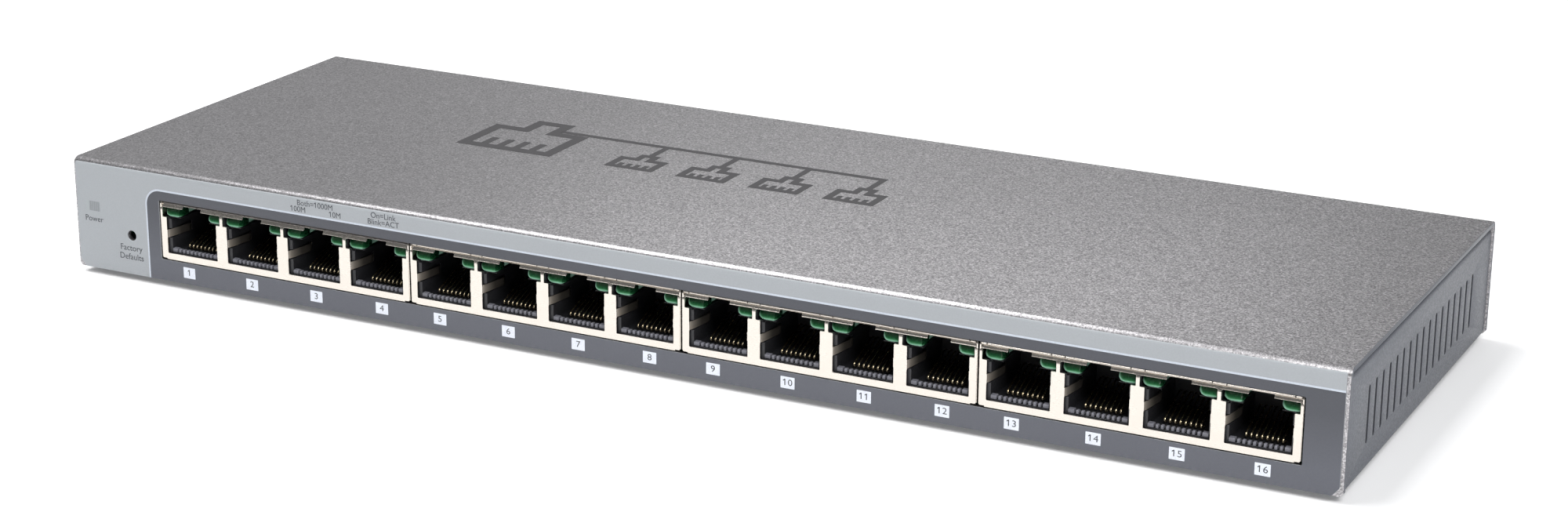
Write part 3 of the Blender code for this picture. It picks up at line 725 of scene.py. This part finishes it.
# the top strip of the film wraps onto the bend of the cover
bm = bmesh.new()
bm.from_mesh(film.data)
start = Z_TOP - LID_R
for i in range(7):
    bmesh.ops.bisect_plane(bm, geom=bm.verts[:] + bm.edges[:] + bm.faces[:],
                           plane_co=(0, 0, (start + 0.16 * i) * MM), plane_no=(0, 0, 1))
for v in bm.verts:
    t = v.co.z / MM - start
    if t > 0:
        v.co.y += (LID_R - math.sqrt(LID_R * LID_R - t * t)) * MM
bm.to_mesh(film.data)
bm.free()
smooth(film)
dress(film, FILM_SILVER, ("front_overlay",))

INK_Y = -50.45
DARK_X, DARK_TOP, LINE_W = -123.5, 21.5, 0.4
dark_pts = [(DARK_X, LABEL_Z[0] + 0.02), (LABEL_X[1] - c, LABEL_Z[0] + 0.02),
            (LABEL_X[1] - 0.02, LABEL_Z[0] + c + 0.3), (LABEL_X[1] - 0.02, DARK_TOP),
            (DARK_X, DARK_TOP)]
dark_pts = fillet(dark_pts, [0.0, 0.5, 0.5, 0.0, 3.4], 10, closed=True)
dark = plate("overlay_slate_field", dark_pts, [window], INK_Y - 0.03, INK_Y - 0.002)
dress(dark, FILM_DARK)

# pale outline that follows the slate field's left side and top
o_pts = fillet([(DARK_X - LINE_W, LABEL_Z[0] + 0.02), (DARK_X - LINE_W, DARK_TOP + LINE_W),
                (LABEL_X[1] - 0.02, DARK_TOP + LINE_W)], [3.4 + LINE_W], 14)
i_pts = fillet([(LABEL_X[1] - 0.02, DARK_TOP), (DARK_X, DARK_TOP), (DARK_X, LABEL_Z[0] + 0.02)],
               [3.4], 14)
bm = bmesh.new()
prism(bm, o_pts + i_pts, "y", INK_Y - 0.03, INK_Y - 0.002)
line = obj_from("overlay_outline", finish_bm("overlay_outline", bm))
dress(line, INK_PALE)

# number tags and their digits
tags, digits = bmesh.new(), bmesh.new()
number = 0
for m in range(4):
    for k in range(4):
        number += 1
        cx = BANK_X0 + m * MODULE_PITCH + PORTS[k] - 1.1 + 0.74 * k
        prism(tags, rrect(cx - 1.53, cx + 1.53, 2.86, 5.28, 0.08, 2), "y", INK_Y - 0.05, INK_Y - 0.031)
        add_text(digits, str(number), 1.9, cx, 4.07, INK_Y - 0.051, 0.015, spacing=1.08, wide=1.12)
tag_o = obj_from("overlay_number_tags", finish_bm("overlay_number_tags", tags))
dress(tag_o, INK_TAG)

# generic legends
L = INK_Y - 0.001
add_text(digits, "Power", 1.85, -138.1, 12.7, L, 0.02)
add_text(digits, "Factory", 1.95, RESET[0] - 0.35, 7.4, L, 0.02)
add_text(digits, "Defaults", 1.95, RESET[0] - 0.35, 5.4, L, 0.02)
add_text(digits, "Both=1000M", 1.72, -79.6, 24.2, L, 0.02)
add_text(digits, "100M", 1.72, -83.9, 22.75, L, 0.02)
add_text(digits, "10M", 1.72, -74.6, 22.75, L, 0.02)
add_text(digits, "On=Link", 1.72, -62.6, 24.2, L, 0.02)
add_text(digits, "Blink=ACT", 1.72, -62.6, 22.75, L, 0.02)
dig_o = obj_from("overlay_digits", finish_bm("overlay_digits", digits))
dress(dig_o, INK_DARK)

# power light window, printed translucent area of the film
pw = plate("power_window", rrect(LIGHT_X - 1.78, LIGHT_X + 1.78, LIGHT_ZC - 1.08, LIGHT_ZC + 1.08, 0.1, 3),
           None, INK_Y - 0.02, INK_Y - 0.002)
dress(pw, FROST)

# ==================================================== generic print on the lid
def flat(bm, pts, z0=None):
    prism(bm, pts, "z", Z_TOP + 0.004, Z_TOP + 0.03)


lid = bmesh.new()
# one wide jack outline with its latch notch, then a linked row of small ones
def jack_icon(bm, cx, cy, w, h, line):
    n = w * 0.2
    outer = [(cx - w / 2, cy - h / 2), (cx + w / 2, cy - h / 2), (cx + w / 2, cy + h * 0.22),
             (cx + n, cy + h * 0.22), (cx + n, cy + h / 2), (cx - n, cy + h / 2), (cx - n, cy + h * 0.22),
             (cx - w / 2, cy + h * 0.22)]
    inner = [(cx - w / 2 + line, cy - h / 2 + line), (cx + w / 2 - line, cy - h / 2 + line),
             (cx + w / 2 - line, cy + h * 0.22 - line), (cx + n - line, cy + h * 0.22 - line),
             (cx + n - line, cy + h / 2 - line), (cx - n + line, cy + h / 2 - line),
             (cx - n + line, cy + h * 0.22 - line), (cx - w / 2 + line, cy + h * 0.22 - line)]
    lo_o = [bm.verts.new((x, y, Z_TOP + 0.004)) for x, y in outer]
    lo_i = [bm.verts.new((x, y, Z_TOP + 0.004)) for x, y in inner]
    hi_o = [bm.verts.new((x, y, Z_TOP + 0.03)) for x, y in outer]
    hi_i = [bm.verts.new((x, y, Z_TOP + 0.03)) for x, y in inner]
    k = len(outer)
    for i in range(k):
        j = (i + 1) % k
        bm.faces.new((lo_o[i], lo_o[j], hi_o[j], hi_o[i]))
        bm.faces.new((lo_i[j], lo_i[i], hi_i[i], hi_i[j]))
        bm.faces.new((hi_o[i], hi_o[j], hi_i[j], hi_i[i]))
        bm.faces.new((lo_o[j], lo_o[i], lo_i[i], lo_i[j]))
    for i in range(4):
        x = cx + (i - 1.5) * w * 0.17
        flat(bm, [(x - line * 0.35, cy - h / 2 + line), (x + line * 0.35, cy - h / 2 + line),
                  (x + line * 0.35, cy - h * 0.18), (x - line * 0.35, cy - h * 0.18)])


EM = (-64.0, 9.0)
jack_icon(lid, EM[0], EM[1] + 1.4, 24.0, 24.0, 2.6)
for i in range(4):
    x = EM[0] + 31.5 + i * 17.5
    jack_icon(lid, x, EM[1] - 5.0, 11.8, 11.0, 1.7)
    flat(lid, [(x - 0.75, EM[1] + 0.5), (x + 0.75, EM[1] + 0.5), (x + 0.75, EM[1] + 7.0), (x - 0.75, EM[1] + 7.0)])
flat(lid, rrect(EM[0] + 4.4, EM[0] + 31.5 + 3 * 17.5 + 0.75, EM[1] + 7.0, EM[1] + 8.6, 0.1, 2))
emblem = obj_from("lid_emblem", finish_bm("lid_emblem", lid))
dress(emblem, INK_TOP)

# ================================================================ jack bank
# ---- plated shield
SY0, SZ0, SZ1, T = -50.4, SHIELD_Z[0], SHIELD_Z[1], 0.3
WIN_TOP, PLATE_TOP, CURL_Z = 18.08, 18.22, 17.3


def curl(z):
    """How far the face has leaned back at height z."""
    t = max(0.0, z - CURL_Z)
    return 0.30 * t * t


bm = bmesh.new()
pts = [(1.25, SZ0), (MODULE_W - 1.25, SZ0), (MODULE_W - 1.25, SZ0 + 0.22),
       (MODULE_W - 0.3, SZ0 + 0.22), (MODULE_W - 0.12, SZ0 + 0.4), (MODULE_W - 0.05, PLATE_TOP)]
for px in reversed(PORTS):
    def f(x, z):
        return (px + x, z)
    right = [f(2.4, PLATE_TOP), f(2.4, WIN_TOP), f(7.25, WIN_TOP), f(7.43, WIN_TOP - 0.07), f(7.5, WIN_TOP - 0.25),
             f(7.5, 16.05), f(7.46, 15.95), f(6.68, 15.95), f(6.54, 15.9), f(6.5, 15.78),
             f(6.5, 13.15), f(6.42, 13.05), f(6.42, 11.25), f(6.5, 11.15), f(6.5, 8.05), f(6.46, 7.93), f(6.34, 7.9)]
    pts += right
    pts += [(2 * px - x, z) for x, z in reversed(right)]
pts += [(0.05, PLATE_TOP), (0.12, SZ0 + 0.4), (0.3, SZ0 + 0.22), (1.25, SZ0 + 0.22)]
prism(bm, pts, "y", SY0, SY0 + T)
face = obj_from("shield_face", finish_bm("shield_face", bm))
soften(face, 0.05, 2, 35, weld=False)
bm = bmesh.new()
bm.from_mesh(face.data)
for i in range(8):
    z = (CURL_Z + 0.15 * i) * MM
    bmesh.ops.bisect_plane(bm, geom=bm.verts[:] + bm.edges[:] + bm.faces[:], plane_co=(0, 0, z), plane_no=(0, 0, 1))
for v in bm.verts:
    v.co.y += curl(v.co.z / MM) * MM
bm.to_mesh(face.data)
bm.free()

# flap that leans back from the face, then the top and back of the can
yc = SY0 + curl(PLATE_TOP)
path_o = [(yc + 0.02, PLATE_TOP - 0.03), (yc + 0.06, PLATE_TOP + 0.05), (yc + 0.19, 18.54), (yc + 0.31, 18.76),
          (yc + 0.40, 18.86), (yc + 0.58, 18.99), (yc + 0.78, 19.12), (yc + 1.05, 19.25), (yc + 1.4, SZ1),
          (-28.0, SZ1), (-27.65, 19.2), (-27.5, 18.85), (-27.5, SZ0)]
path_i = [(-27.5 - T, SZ0), (-27.5 - T, 18.8), (-28.05, SZ1 - T), (yc + 1.5, SZ1 - T), (yc + 1.1, 18.98),
          (yc + 0.85, 18.82), (yc + 0.62, 18.62), (yc + T + 0.08, PLATE_TOP - 0.03)]
bm = bmesh.new()
prism(bm, path_o + path_i, "x", 0.32, MODULE_W - 0.32)
can = obj_from("shield_can", finish_bm("shield_can", bm))
bm = bmesh.new()
for px in PORTS:
    box(bm, px - 2.4, px + 2.4, -51, -48.9, 18.0, 18.70)
    for s in (-1, 1):
        box(bm, px + s * 6.5 - 0.14, px + s * 6.5 + 0.14, -51, -49.3, 18.96, 20)
cut(can, bm)
soften(can, 0.04, 1, 35)
bm = bmesh.new()
for x0, x1 in ((0.0, T), (MODULE_W - T, MODULE_W)):
    prism(bm, fillet([(-50.28, SZ0 + 0.3), (-27.6, SZ0 + 0.3), (-27.6, SZ1 - 0.05), (-50.1, SZ1 - 0.05),
                      (-50.28, 18.8)], [0.3, 0.2, 0.4, 0.3, 0.2], 3, closed=True), "x", x0, x1)
# contact springs: bent in at both sides of each opening, then back into the jack
spring = bezier([(0, 6.56, -50.32), (0, 6.42, -50.18), (0, 6.26, -49.75), (0, 6.08, -48.9), (0, 5.86, -47.4),
                 (0, 5.62, -45.6), (0, 5.46, -44.2), (0, 5.5, -43.5), (0, 5.74, -42.8)], 3)
spring = [(p[1], p[2]) for p in spring]
sides = obj_from("shield_sides", finish_bm("shield_sides", bm))
bm = bmesh.new()
for px in PORTS:
    for s in (-1, 1):
        inner_side, outer_side = [], []
        for i, (x, y) in enumerate(spring):
            a = Vector(spring[max(i - 1, 0)])
            d = (Vector(spring[min(i + 1, len(spring) - 1)]) - a).normalized()
            inner_side.append((px + s * x, y))
            outer_side.append((px + s * (x + d.y * 0.18), y - d.x * 0.18))
        prism(bm, inner_side + outer_side[::-1], "z", 11.3, 13.0)
springs = obj_from("shield_springs", finish_bm("shield_springs", bm))
soften(sides, 0.04, 1, 35, weld=False)
soften(springs, 0.04, 1, 35, weld=False)


def join_meshes(name, objs):
    b = bmesh.new()
    for i, o in enumerate(objs):
        n = len(b.faces)
        b.from_mesh(o.data)
        b.faces.ensure_lookup_table()
        for f in b.faces[n:]:
            f.material_index = 1 if o.name.startswith("shield_springs") else 0
    me = bpy.data.meshes.new(name)
    b.to_mesh(me)
    b.free()
    for o in objs:
        bpy.data.objects.remove(o, do_unlink=True)
    return me


shield_me = join_meshes("shield_detail", [face, can, sides, springs])
shield_me.materials.append(NICKEL)
shield_me.materials.append(NICKEL_EDGE)
shield_me.materials.append(NICKEL_LIP_SHADED)
for p in shield_me.polygons:      # darker copy of the nickel on the upper slope of the lip: painted shade
    z, y = p.center.z / MM, p.center.y / MM
    if 18.86 < z < 19.34 and y < -49.0 and p.normal.z > 0.4 and p.normal.y < -0.2:
        p.material_index = 2

# ---- plastic housing
bm = bmesh.new()
hx0, hx1 = 0.62, MODULE_W - 0.62
box(bm, hx0, hx1, -49.7, -28.1, 6.75, 18.9)
house = obj_from("housing", finish_bm("housing", bm))
bm = bmesh.new()
for px in PORTS:
    box(bm, px - 5.95, px + 5.95, -51, -35.0, 7.95, 15.6)
cut(house, bm)
bm = bmesh.new()
box(bm, -1, MODULE_W + 1, -50.5, -48.2, 18.45, 19.5)
box(bm, -1, MODULE_W + 1, -48.3, -27, 18.72, 19.5)
cut(house, bm)
bm = bmesh.new()
for px in PORTS:
    box(bm, px - 6.4, px + 6.4, -50.5, -49.0, 15.3, 15.9)
cut(house, bm)
bm = bmesh.new()
for px in PORTS:
    box(bm, px - 3.72, px + 3.72, -51, -38.0, 15.0, 18.62)
cut(house, bm)
bm = bmesh.new()
for px in PORTS:
    for s in (-1, 1):
        x0, x1 = sorted((px + s * 5.0, px + s * 6.62))
        box(bm, x0, x1, -51, -42.5, 11.1, 13.2)
cut(house, bm)
bm = bmesh.new()
for px in PORTS:
    prism(bm, [(px - 6.4, -50.5), (px + 6.4, -50.5), (px + 6.4, -49.65), (px + 6.28, -49.5), (px + 5.9, -49.35),
               (px - 5.9, -49.35), (px - 6.28, -49.5), (px - 6.4, -49.65)], "z", 7.9, 15.52)
cut(house, bm)
bm = bmesh.new()
for px in PORTS:
    box(bm, px - 7.55, px - 3.6, -51, -30.6, 15.74, 18.3)
    box(bm, px + 3.55, px + 7.55, -51, -30.6, 15.74, 18.3)
cut(house, bm)
bm = bmesh.new()
box(bm, -1, MODULE_W + 1, -30.7, -27, 16.2, 18.4)
cut(house, bm)
soften(house, 0.07, 1, 40)
house_me = house.data
bpy.data.objects.remove(house, do_unlink=True)
house_me.materials.clear()
house_me.materials.append(BLACK)

# ---- comb: small ribs between the wires at the lip, and a block at each side
bm = bmesh.new()
for px in PORTS:
    for i in range(9):
        cx = px + (i - 4) * 1.016
        rib = fillet([(-49.55, 7.96), (-49.55, 8.72), (-48.75, 8.72), (-48.2, 8.3), (-48.2, 7.96)],
                     [0.0, 0.26, 0.2, 0.0, 0.0], 4, closed=True)
        prism(bm, rib, "x", cx - 0.26, cx + 0.26)
    for s, w0, w1 in ((-1, 4.75, 5.93), (1, 4.75, 5.93)):
        x0, x1 = sorted((px + s * w0, px + s * w1))
        blk = fillet([(-49.5, 7.96), (-49.5, 8.72), (-48.5, 8.8), (-48.1, 8.5), (-48.1, 7.96)],
                     [0.0, 0.22, 0.2, 0.1, 0.0], 4, closed=True)
        prism(bm, blk, "x", x0, x1)
comb = obj_from("comb", finish_bm("comb", bm))
soften(comb, 0.06, 2, 35, weld=False)
comb_me = comb.data
bpy.data.objects.remove(comb, do_unlink=True)
comb_me.materials.clear()
comb_me.materials.append(COMB_GREY)


# ---- green lenses: sloping crown, rounded belly, arm running back over the housing
LENS_PROFILE = [p[1:] for p in bezier(
    [(0, 18.08, -48.85), (0, 17.65, -49.08), (0, 17.25, -49.32), (0, 16.9, -49.56), (0, 16.58, -49.76),
     (0, 16.3, -49.82), (0, 16.08, -49.7), (0, 15.93, -49.4), (0, 15.86, -48.9)], 3)]


def lens_block(b, x0, x1, yb, round_side):
    nx = 20
    grid = []
    lens_painted_light = b.verts.layers.float.get("lens_painted_light") or b.verts.layers.float.new("lens_painted_light")
    top, low = LENS_PROFILE[0][0], LENS_PROFILE[-1][0]
    for z, y in LENS_PROFILE:
        row = []
        v = (z - low) / (top - low)
        for i in range(nx + 1):
            u = 2 * i / nx - 1
            w = max(0.0, u * round_side)
            # the outer end curls back and up, the other end is nearly square
            yy = y + 0.75 * w ** 3.2 + 0.16 * abs(u) ** 8
            zz = z + (0.55 * w ** 2.4 + 0.10 * abs(u) ** 8) * (1 - v)
            x = (x0 + x1) / 2 + u * (x1 - x0) / 2
            vert = b.verts.new((x, yy, zz))
            # painted highlight toward the rounded outer end, painted shade toward the square end
            edge = max(0.0, (u * round_side - 0.35) / 0.65)
            vert[lens_painted_light] = v - 0.42 * edge ** 1.6 + 0.10 * max(0.0, -u * round_side - 0.6)
            row.append(vert)
        grid.append(row)
    for j in range(len(grid) - 1):
        for i in range(nx):
            b.faces.new((grid[j][i], grid[j][i + 1], grid[j + 1][i + 1], grid[j + 1][i]))
    rim = grid[0] + [r[-1] for r in grid[1:]] + grid[-1][-2::-1] + [r[0] for r in grid[-2:0:-1]]
    back = [b.verts.new((v.co.x, yb, v.co.z)) for v in rim]
    # sides and back take the darkest value: painted shade
    for v in back:
        v[lens_painted_light] = 1.0
    n = len(rim)
    for i in range(n):
        j = (i + 1) % n
        b.faces.new((rim[i], back[i], back[j], rim[j]))
    b.faces.new(back)


bm = bmesh.new()
for px in PORTS:
    lens_block(bm, px - 7.42, px - 3.8, -46.0, -1)
    lens_block(bm, px + 3.65, px + 7.3, -46.0, -1)
    box(bm, px - 7.2, px - 4.0, -45.98, -30.5, 16.2, 17.9)
    box(bm, px + 3.85, px + 7.1, -45.98, -30.5, 16.2, 17.9)
box(bm, 0.75, MODULE_W - 0.75, -30.48, -28.4, 16.6, 17.9)
lens_me = finish_bm("lens_bar", bm)
lens_me.materials.append(LENS)
lens_me.shade_smooth()
lens_me.set_sharp_from_angle(angle=math.radians(50))

# ---- spring wires
section = [(-0.17, -0.08), (-0.10, -0.13), (0.10, -0.13), (0.17, -0.08),
           (0.17, 0.08), (0.10, 0.13), (-0.10, 0.13), (-0.17, 0.08)]
route = [(-44.6, 8.2), (-45.8, 8.22), (-46.55, 8.4), (-46.78, 8.78), (-46.5, 9.14), (-45.8, 9.42),
         (-43.8, 10.15), (-41.4, 11.05), (-39.3, 11.85), (-38.5, 11.95), (-37.9, 11.7)]
smooth_route = [p[1:] for p in bezier([(0, y, z) for y, z in route], 4)]
bm = bmesh.new()
for i in range(8):
    cx = (i - 3.5) * 1.016
    sweep(bm, [(cx, y, z) for y, z in smooth_route], section)
wires_me = finish_bm("spring_wires", bm)
wires_me.materials.append(GOLD)
wires_me.shade_smooth()
wires_me.set_sharp_from_angle(angle=math.radians(60))

port = 0
for m in range(4):
    x = BANK_X0 + m * MODULE_PITCH
    o = obj_from("shield_%d" % (m + 1), shield_me, (x, 0, 0))
    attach(o, ROOT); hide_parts("jack_shield_%d" % (m + 1))
    # rolled ground fingers along the top of the shield; each module sits a little further out
    bm = bmesh.new()
    fy, edges = (-49.2, -49.9, -50.24, -50.36)[m], [0.45]
    for px in PORTS:
        edges += [px - 6.62, px - 6.38, px + 6.38, px + 6.62]
    edges.append(MODULE_W - 0.45)
    for x0, x1 in zip(edges[0::2], edges[1::2]):
        prism(bm, [(fy + 0.19 * math.cos(a * math.pi / 8), 19.16 + 0.19 * math.sin(a * math.pi / 8))
                   for a in range(16)], "x", x0, x1)
    fingers = obj_from("shield_fingers_%d" % (m + 1), finish_bm("shield_fingers_%d" % (m + 1), bm), (x, 0, 0))
    smooth(fingers, 40)
    fingers.data.materials.append(NICKEL)
    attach(fingers, ROOT)
    o = obj_from("housing_%d" % (m + 1), house_me, (x, 0, 0))
    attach(o, ROOT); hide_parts("jack_housing_%d" % (m + 1))
    o = obj_from("comb_%d" % (m + 1), comb_me, (x, 0, 0))
    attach(o, ROOT)
    o = obj_from("lenses_%d" % (m + 1), lens_me, (x, 0, 0))
    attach(o, ROOT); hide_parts("port_light_pipe_%d" % (m + 1))
    for k in range(4):
        port += 1
        o = obj_from("wires_%02d" % port, wires_me, (x + PORTS[k], 0, 0))
        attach(o, ROOT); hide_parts("contact_comb_%02d" % port)

# ==================================================================== feet
bm = bmesh.new()
lathe(bm, [(0, 0.0), (4.4, 0.0), (4.9, 0.05), (5.25, 0.22), (5.42, 0.5), (5.5, 0.8), (5.5, 1.1), (0, 1.1)], 64)
foot_me = finish_bm("foot", bm)
foot_me.materials.append(RUBBER)
foot_me.shade_smooth()
foot_me.set_sharp_from_angle(angle=math.radians(40))
n = 0
for sy in (-1, 1):
    for sx in (-1, 1):
        n += 1
        o = obj_from("foot_%d" % n, foot_me, (sx * FOOT[0], sy * FOOT[1], 0))
        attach(o, ROOT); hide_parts("rubber_foot_%d" % n)


# ================================================================== screws
def screw(name, head_r, z_top, z_under, shank_r, z_tip, down=False):
    """Pan head with a cross recess; z_top is the crown of the head."""
    b = bmesh.new()
    s = 1 if z_top > z_under else -1
    h = abs(z_top - z_under)
    prof = [(0, z_top), (head_r * 0.45, z_top - s * 0.04 * h), (head_r * 0.75, z_top - s * 0.18 * h),
            (head_r * 0.93, z_top - s * 0.42 * h), (head_r, z_top - s * 0.7 * h), (head_r, z_under),
            (shank_r * 1.05, z_under)]
    steps = 9
    for i in range(steps):
        z = z_under + (z_tip - z_under) * (i + 0.25) / steps
        z2 = z_under + (z_tip - z_under) * (i + 0.75) / steps
        prof += [(shank_r, z), (shank_r * 0.84, z2)]
    prof += [(shank_r * 0.6, z_tip), (0, z_tip)]
    lathe(b, prof, 40)
    o = obj_from(name, finish_bm(name, b))
    b = bmesh.new()
    d = 0.5 * h
    for w, l in ((0.32, head_r * 0.52), (head_r * 0.52, 0.32)):
        z0, z1 = sorted((z_top + s * 1, z_top - s * d))
        box(b, -w, w, -l, l, z0, z1)
        cut(o, b)
        b = bmesh.new()
    b.free()
    me = o.data
    bpy.data.objects.remove(o, do_unlink=True)
    me.materials.clear()
    me.materials.append(ZINC)
    me.shade_smooth()
    me.set_sharp_from_angle(angle=math.radians(40))
    return me


cs = screw("cover_screw_detail", 2.6, 0.15, 1.1, 1.45, 4.05)
ps = screw("pcb_screw_detail", 2.75, 8.1, 6.4, 1.3, 2.1)
n = 0
for sy in (-1, 1):
    for sx in (-1, 1):
        n += 1
        o = obj_from("case_screw_%d" % n, cs, (sx * COVER_SCREW[0], sy * COVER_SCREW[1], 0))
        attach(o, ROOT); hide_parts("cover_screw_%d" % n)
for n, (x, y) in enumerate(PCB_SCREW):
    o = obj_from("board_screw_%d" % (n + 1), ps, (x, y, 0))
    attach(o, ROOT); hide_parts("pcb_screw_%d" % (n + 1))

# ================================================================ DC inlet
bm = bmesh.new()
box(bm, JACK_X - 4.5, JACK_X + 4.5, 35.0, 49.2, 6.4, JACK_Z + 4.5)
inlet = obj_from("inlet_housing", finish_bm("inlet_housing", bm))
bm = bmesh.new()
lathe(bm, [(0, 39.0), (3.1, 39.0), (3.1, 48.7), (3.5, 49.25), (3.5, 53.0), (0, 53.0)], 56, "y", (JACK_X, JACK_Z))
cut(inlet, bm)
soften(inlet, 0.2, 2, 50)
smooth(inlet)
dress(inlet, BLACK, ("dc_inlet_body",))
bm = bmesh.new()
lathe(bm, [(0, 39.3), (1.0, 39.3), (1.0, 47.2), (0.93, 47.55), (0.7, 47.85), (0.35, 47.98), (0, 48.0)], 32, "y",
      (JACK_X, JACK_Z))
dcpin = obj_from("inlet_pin", finish_bm("inlet_pin", bm))
smooth(dcpin, 40)
dress(dcpin, NICKEL, ("dc_inlet_pin",))

# ============================================================ reset plunger
rx, rz = RESET
bm = bmesh.new()
lathe(bm, [(0, -47.4), (1.2, -47.38), (1.55, -47.25), (1.72, -46.95), (1.75, -46.6), (1.75, -43.5), (0, -43.5)],
      40, "y", (rx, rz))
plunger = obj_from("reset_button_cap", finish_bm("reset_button_cap", bm))
smooth(plunger, 40)
dress(plunger, BLACK, ("reset_plunger",), "reset_button")


# ================================================= CAD nodes that stay shown
def finish_node(name, mat):
    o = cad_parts[name]
    if o.material_slots:
        for s in o.material_slots:
            s.material = mat
    else:
        o.data.materials.append(mat)


for name, mat in (("main_pcb", BOARD), ("power_light_pipe", FROST), ("reset_switch_body", BLACK),
                  ("switch_chip", CHIP), ("phy_chip", CHIP), ("heat_sink_1", FINS), ("heat_sink_2", FINS),
                  ("power_inductor", CHIP), ("electrolytic_capacitor", SLEEVE), ("clock_crystal", ZINC),
                  ("magnetics_1", CHIP), ("magnetics_2", CHIP), ("magnetics_3", CHIP), ("magnetics_4", CHIP)):
    finish_node(name, mat)

# ==================================================================== stage
bm = bmesh.new()
bmesh.ops.create_grid(bm, x_segments=1, y_segments=1, size=4.0)
me = bpy.data.meshes.new("floor")
bm.to_mesh(me)
bm.free()
floor = bpy.data.objects.new("floor", me)
bpy.context.scene.collection.objects.link(floor)
floor.location = (0, 0, 0.0)
me.materials.append(make_floor())

scene = bpy.context.scene
scene.view_settings.view_transform = "Standard"
scene.view_settings.look = "None"
scene.view_settings.exposure = 0.0

world = bpy.data.worlds.new("studio")
world.use_nodes = True
scene.world = world
wt = world.node_tree
bg = wt.nodes["Background"]
tc = wt.nodes.new("ShaderNodeTexCoord")
sep = wt.nodes.new("ShaderNodeSeparateXYZ")
wt.links.new(tc.outputs["Generated"], sep.inputs["Vector"])
front = wt.nodes.new("ShaderNodeMapRange")       # darker room in front of the set
front.interpolation_type = "SMOOTHSTEP"
front.inputs["From Min"].default_value, front.inputs["From Max"].default_value = -0.95, 0.35
front.inputs["To Min"].default_value, front.inputs["To Max"].default_value = WORLD_FRONT, WORLD_BACK
wt.links.new(sep.outputs["Y"], front.inputs["Value"])
bg.inputs["Color"].default_value = (0.97, 0.985, 1.0, 1)
wt.links.new(front.outputs["Result"], bg.inputs["Strength"])


def area(name, loc, target, size, power, color=(1, 1, 1)):
    """Softbox; size is (across world X, across the other way)."""
    l = bpy.data.lights.new(name, "AREA")
    l.shape, l.size, l.size_y = "RECTANGLE", size[0], size[1]
    l.energy, l.color = power, color
    o = bpy.data.objects.new(name, l)
    z = (Vector(loc) - Vector(target)).normalized()
    x = (Vector((1, 0, 0)) - z * z.x).normalized()
    o.matrix_world = Matrix.Translation(loc) @ Matrix((x, z.cross(x), z)).transposed().to_4x4()
    scene.collection.objects.link(o)
    return o


area("overhead", (-0.34, -0.08, 1.12), (0.02, -0.03, 0), (0.46, 0.86), 9.9)
area("overhead_left", (-0.80, -0.02, 1.12), (0.0, -0.03, 0), (0.42, 0.62), 4.6)
area("front_right", (0.60, -0.60, 0.86), (0.12, -0.06, 0), (0.6, 0.5), 10.0)
area("rear_glow", (-0.40, 1.15, 0.78), (0.03, -0.03, 0.02), (0.80, 0.34), 1.15)

# =================================================================== camera
AZ, EL, ROLL = math.radians(26.62), math.radians(18.29), math.radians(0.426)
TX, TY, DIST, FOCAL = -4.20, 4.04, 655.37, 3931.0
right = Vector((math.cos(AZ), math.sin(AZ), 0))
back = Vector((math.sin(AZ) * math.cos(EL), -math.cos(AZ) * math.cos(EL), math.sin(EL)))
fwd = -back
up = right.cross(fwd)
r2 = right * math.cos(ROLL) + up * math.sin(ROLL)
u2 = -right * math.sin(ROLL) + up * math.cos(ROLL)
pos = Vector((0, 0, 13.0)) - r2 * TX - u2 * TY - fwd * DIST
cam_data = bpy.data.cameras.new("camera")
cam_data.sensor_width = 36.0
cam_data.lens = FOCAL * 36.0 / 2000.0
cam_data.clip_start, cam_data.clip_end = 0.01, 20.0
cam = bpy.data.objects.new("camera", cam_data)
rot = Matrix((r2, u2, -fwd)).transposed()
cam.matrix_world = Matrix.Translation(pos * MM) @ rot.to_4x4()
scene.collection.objects.link(cam)
scene.camera = cam
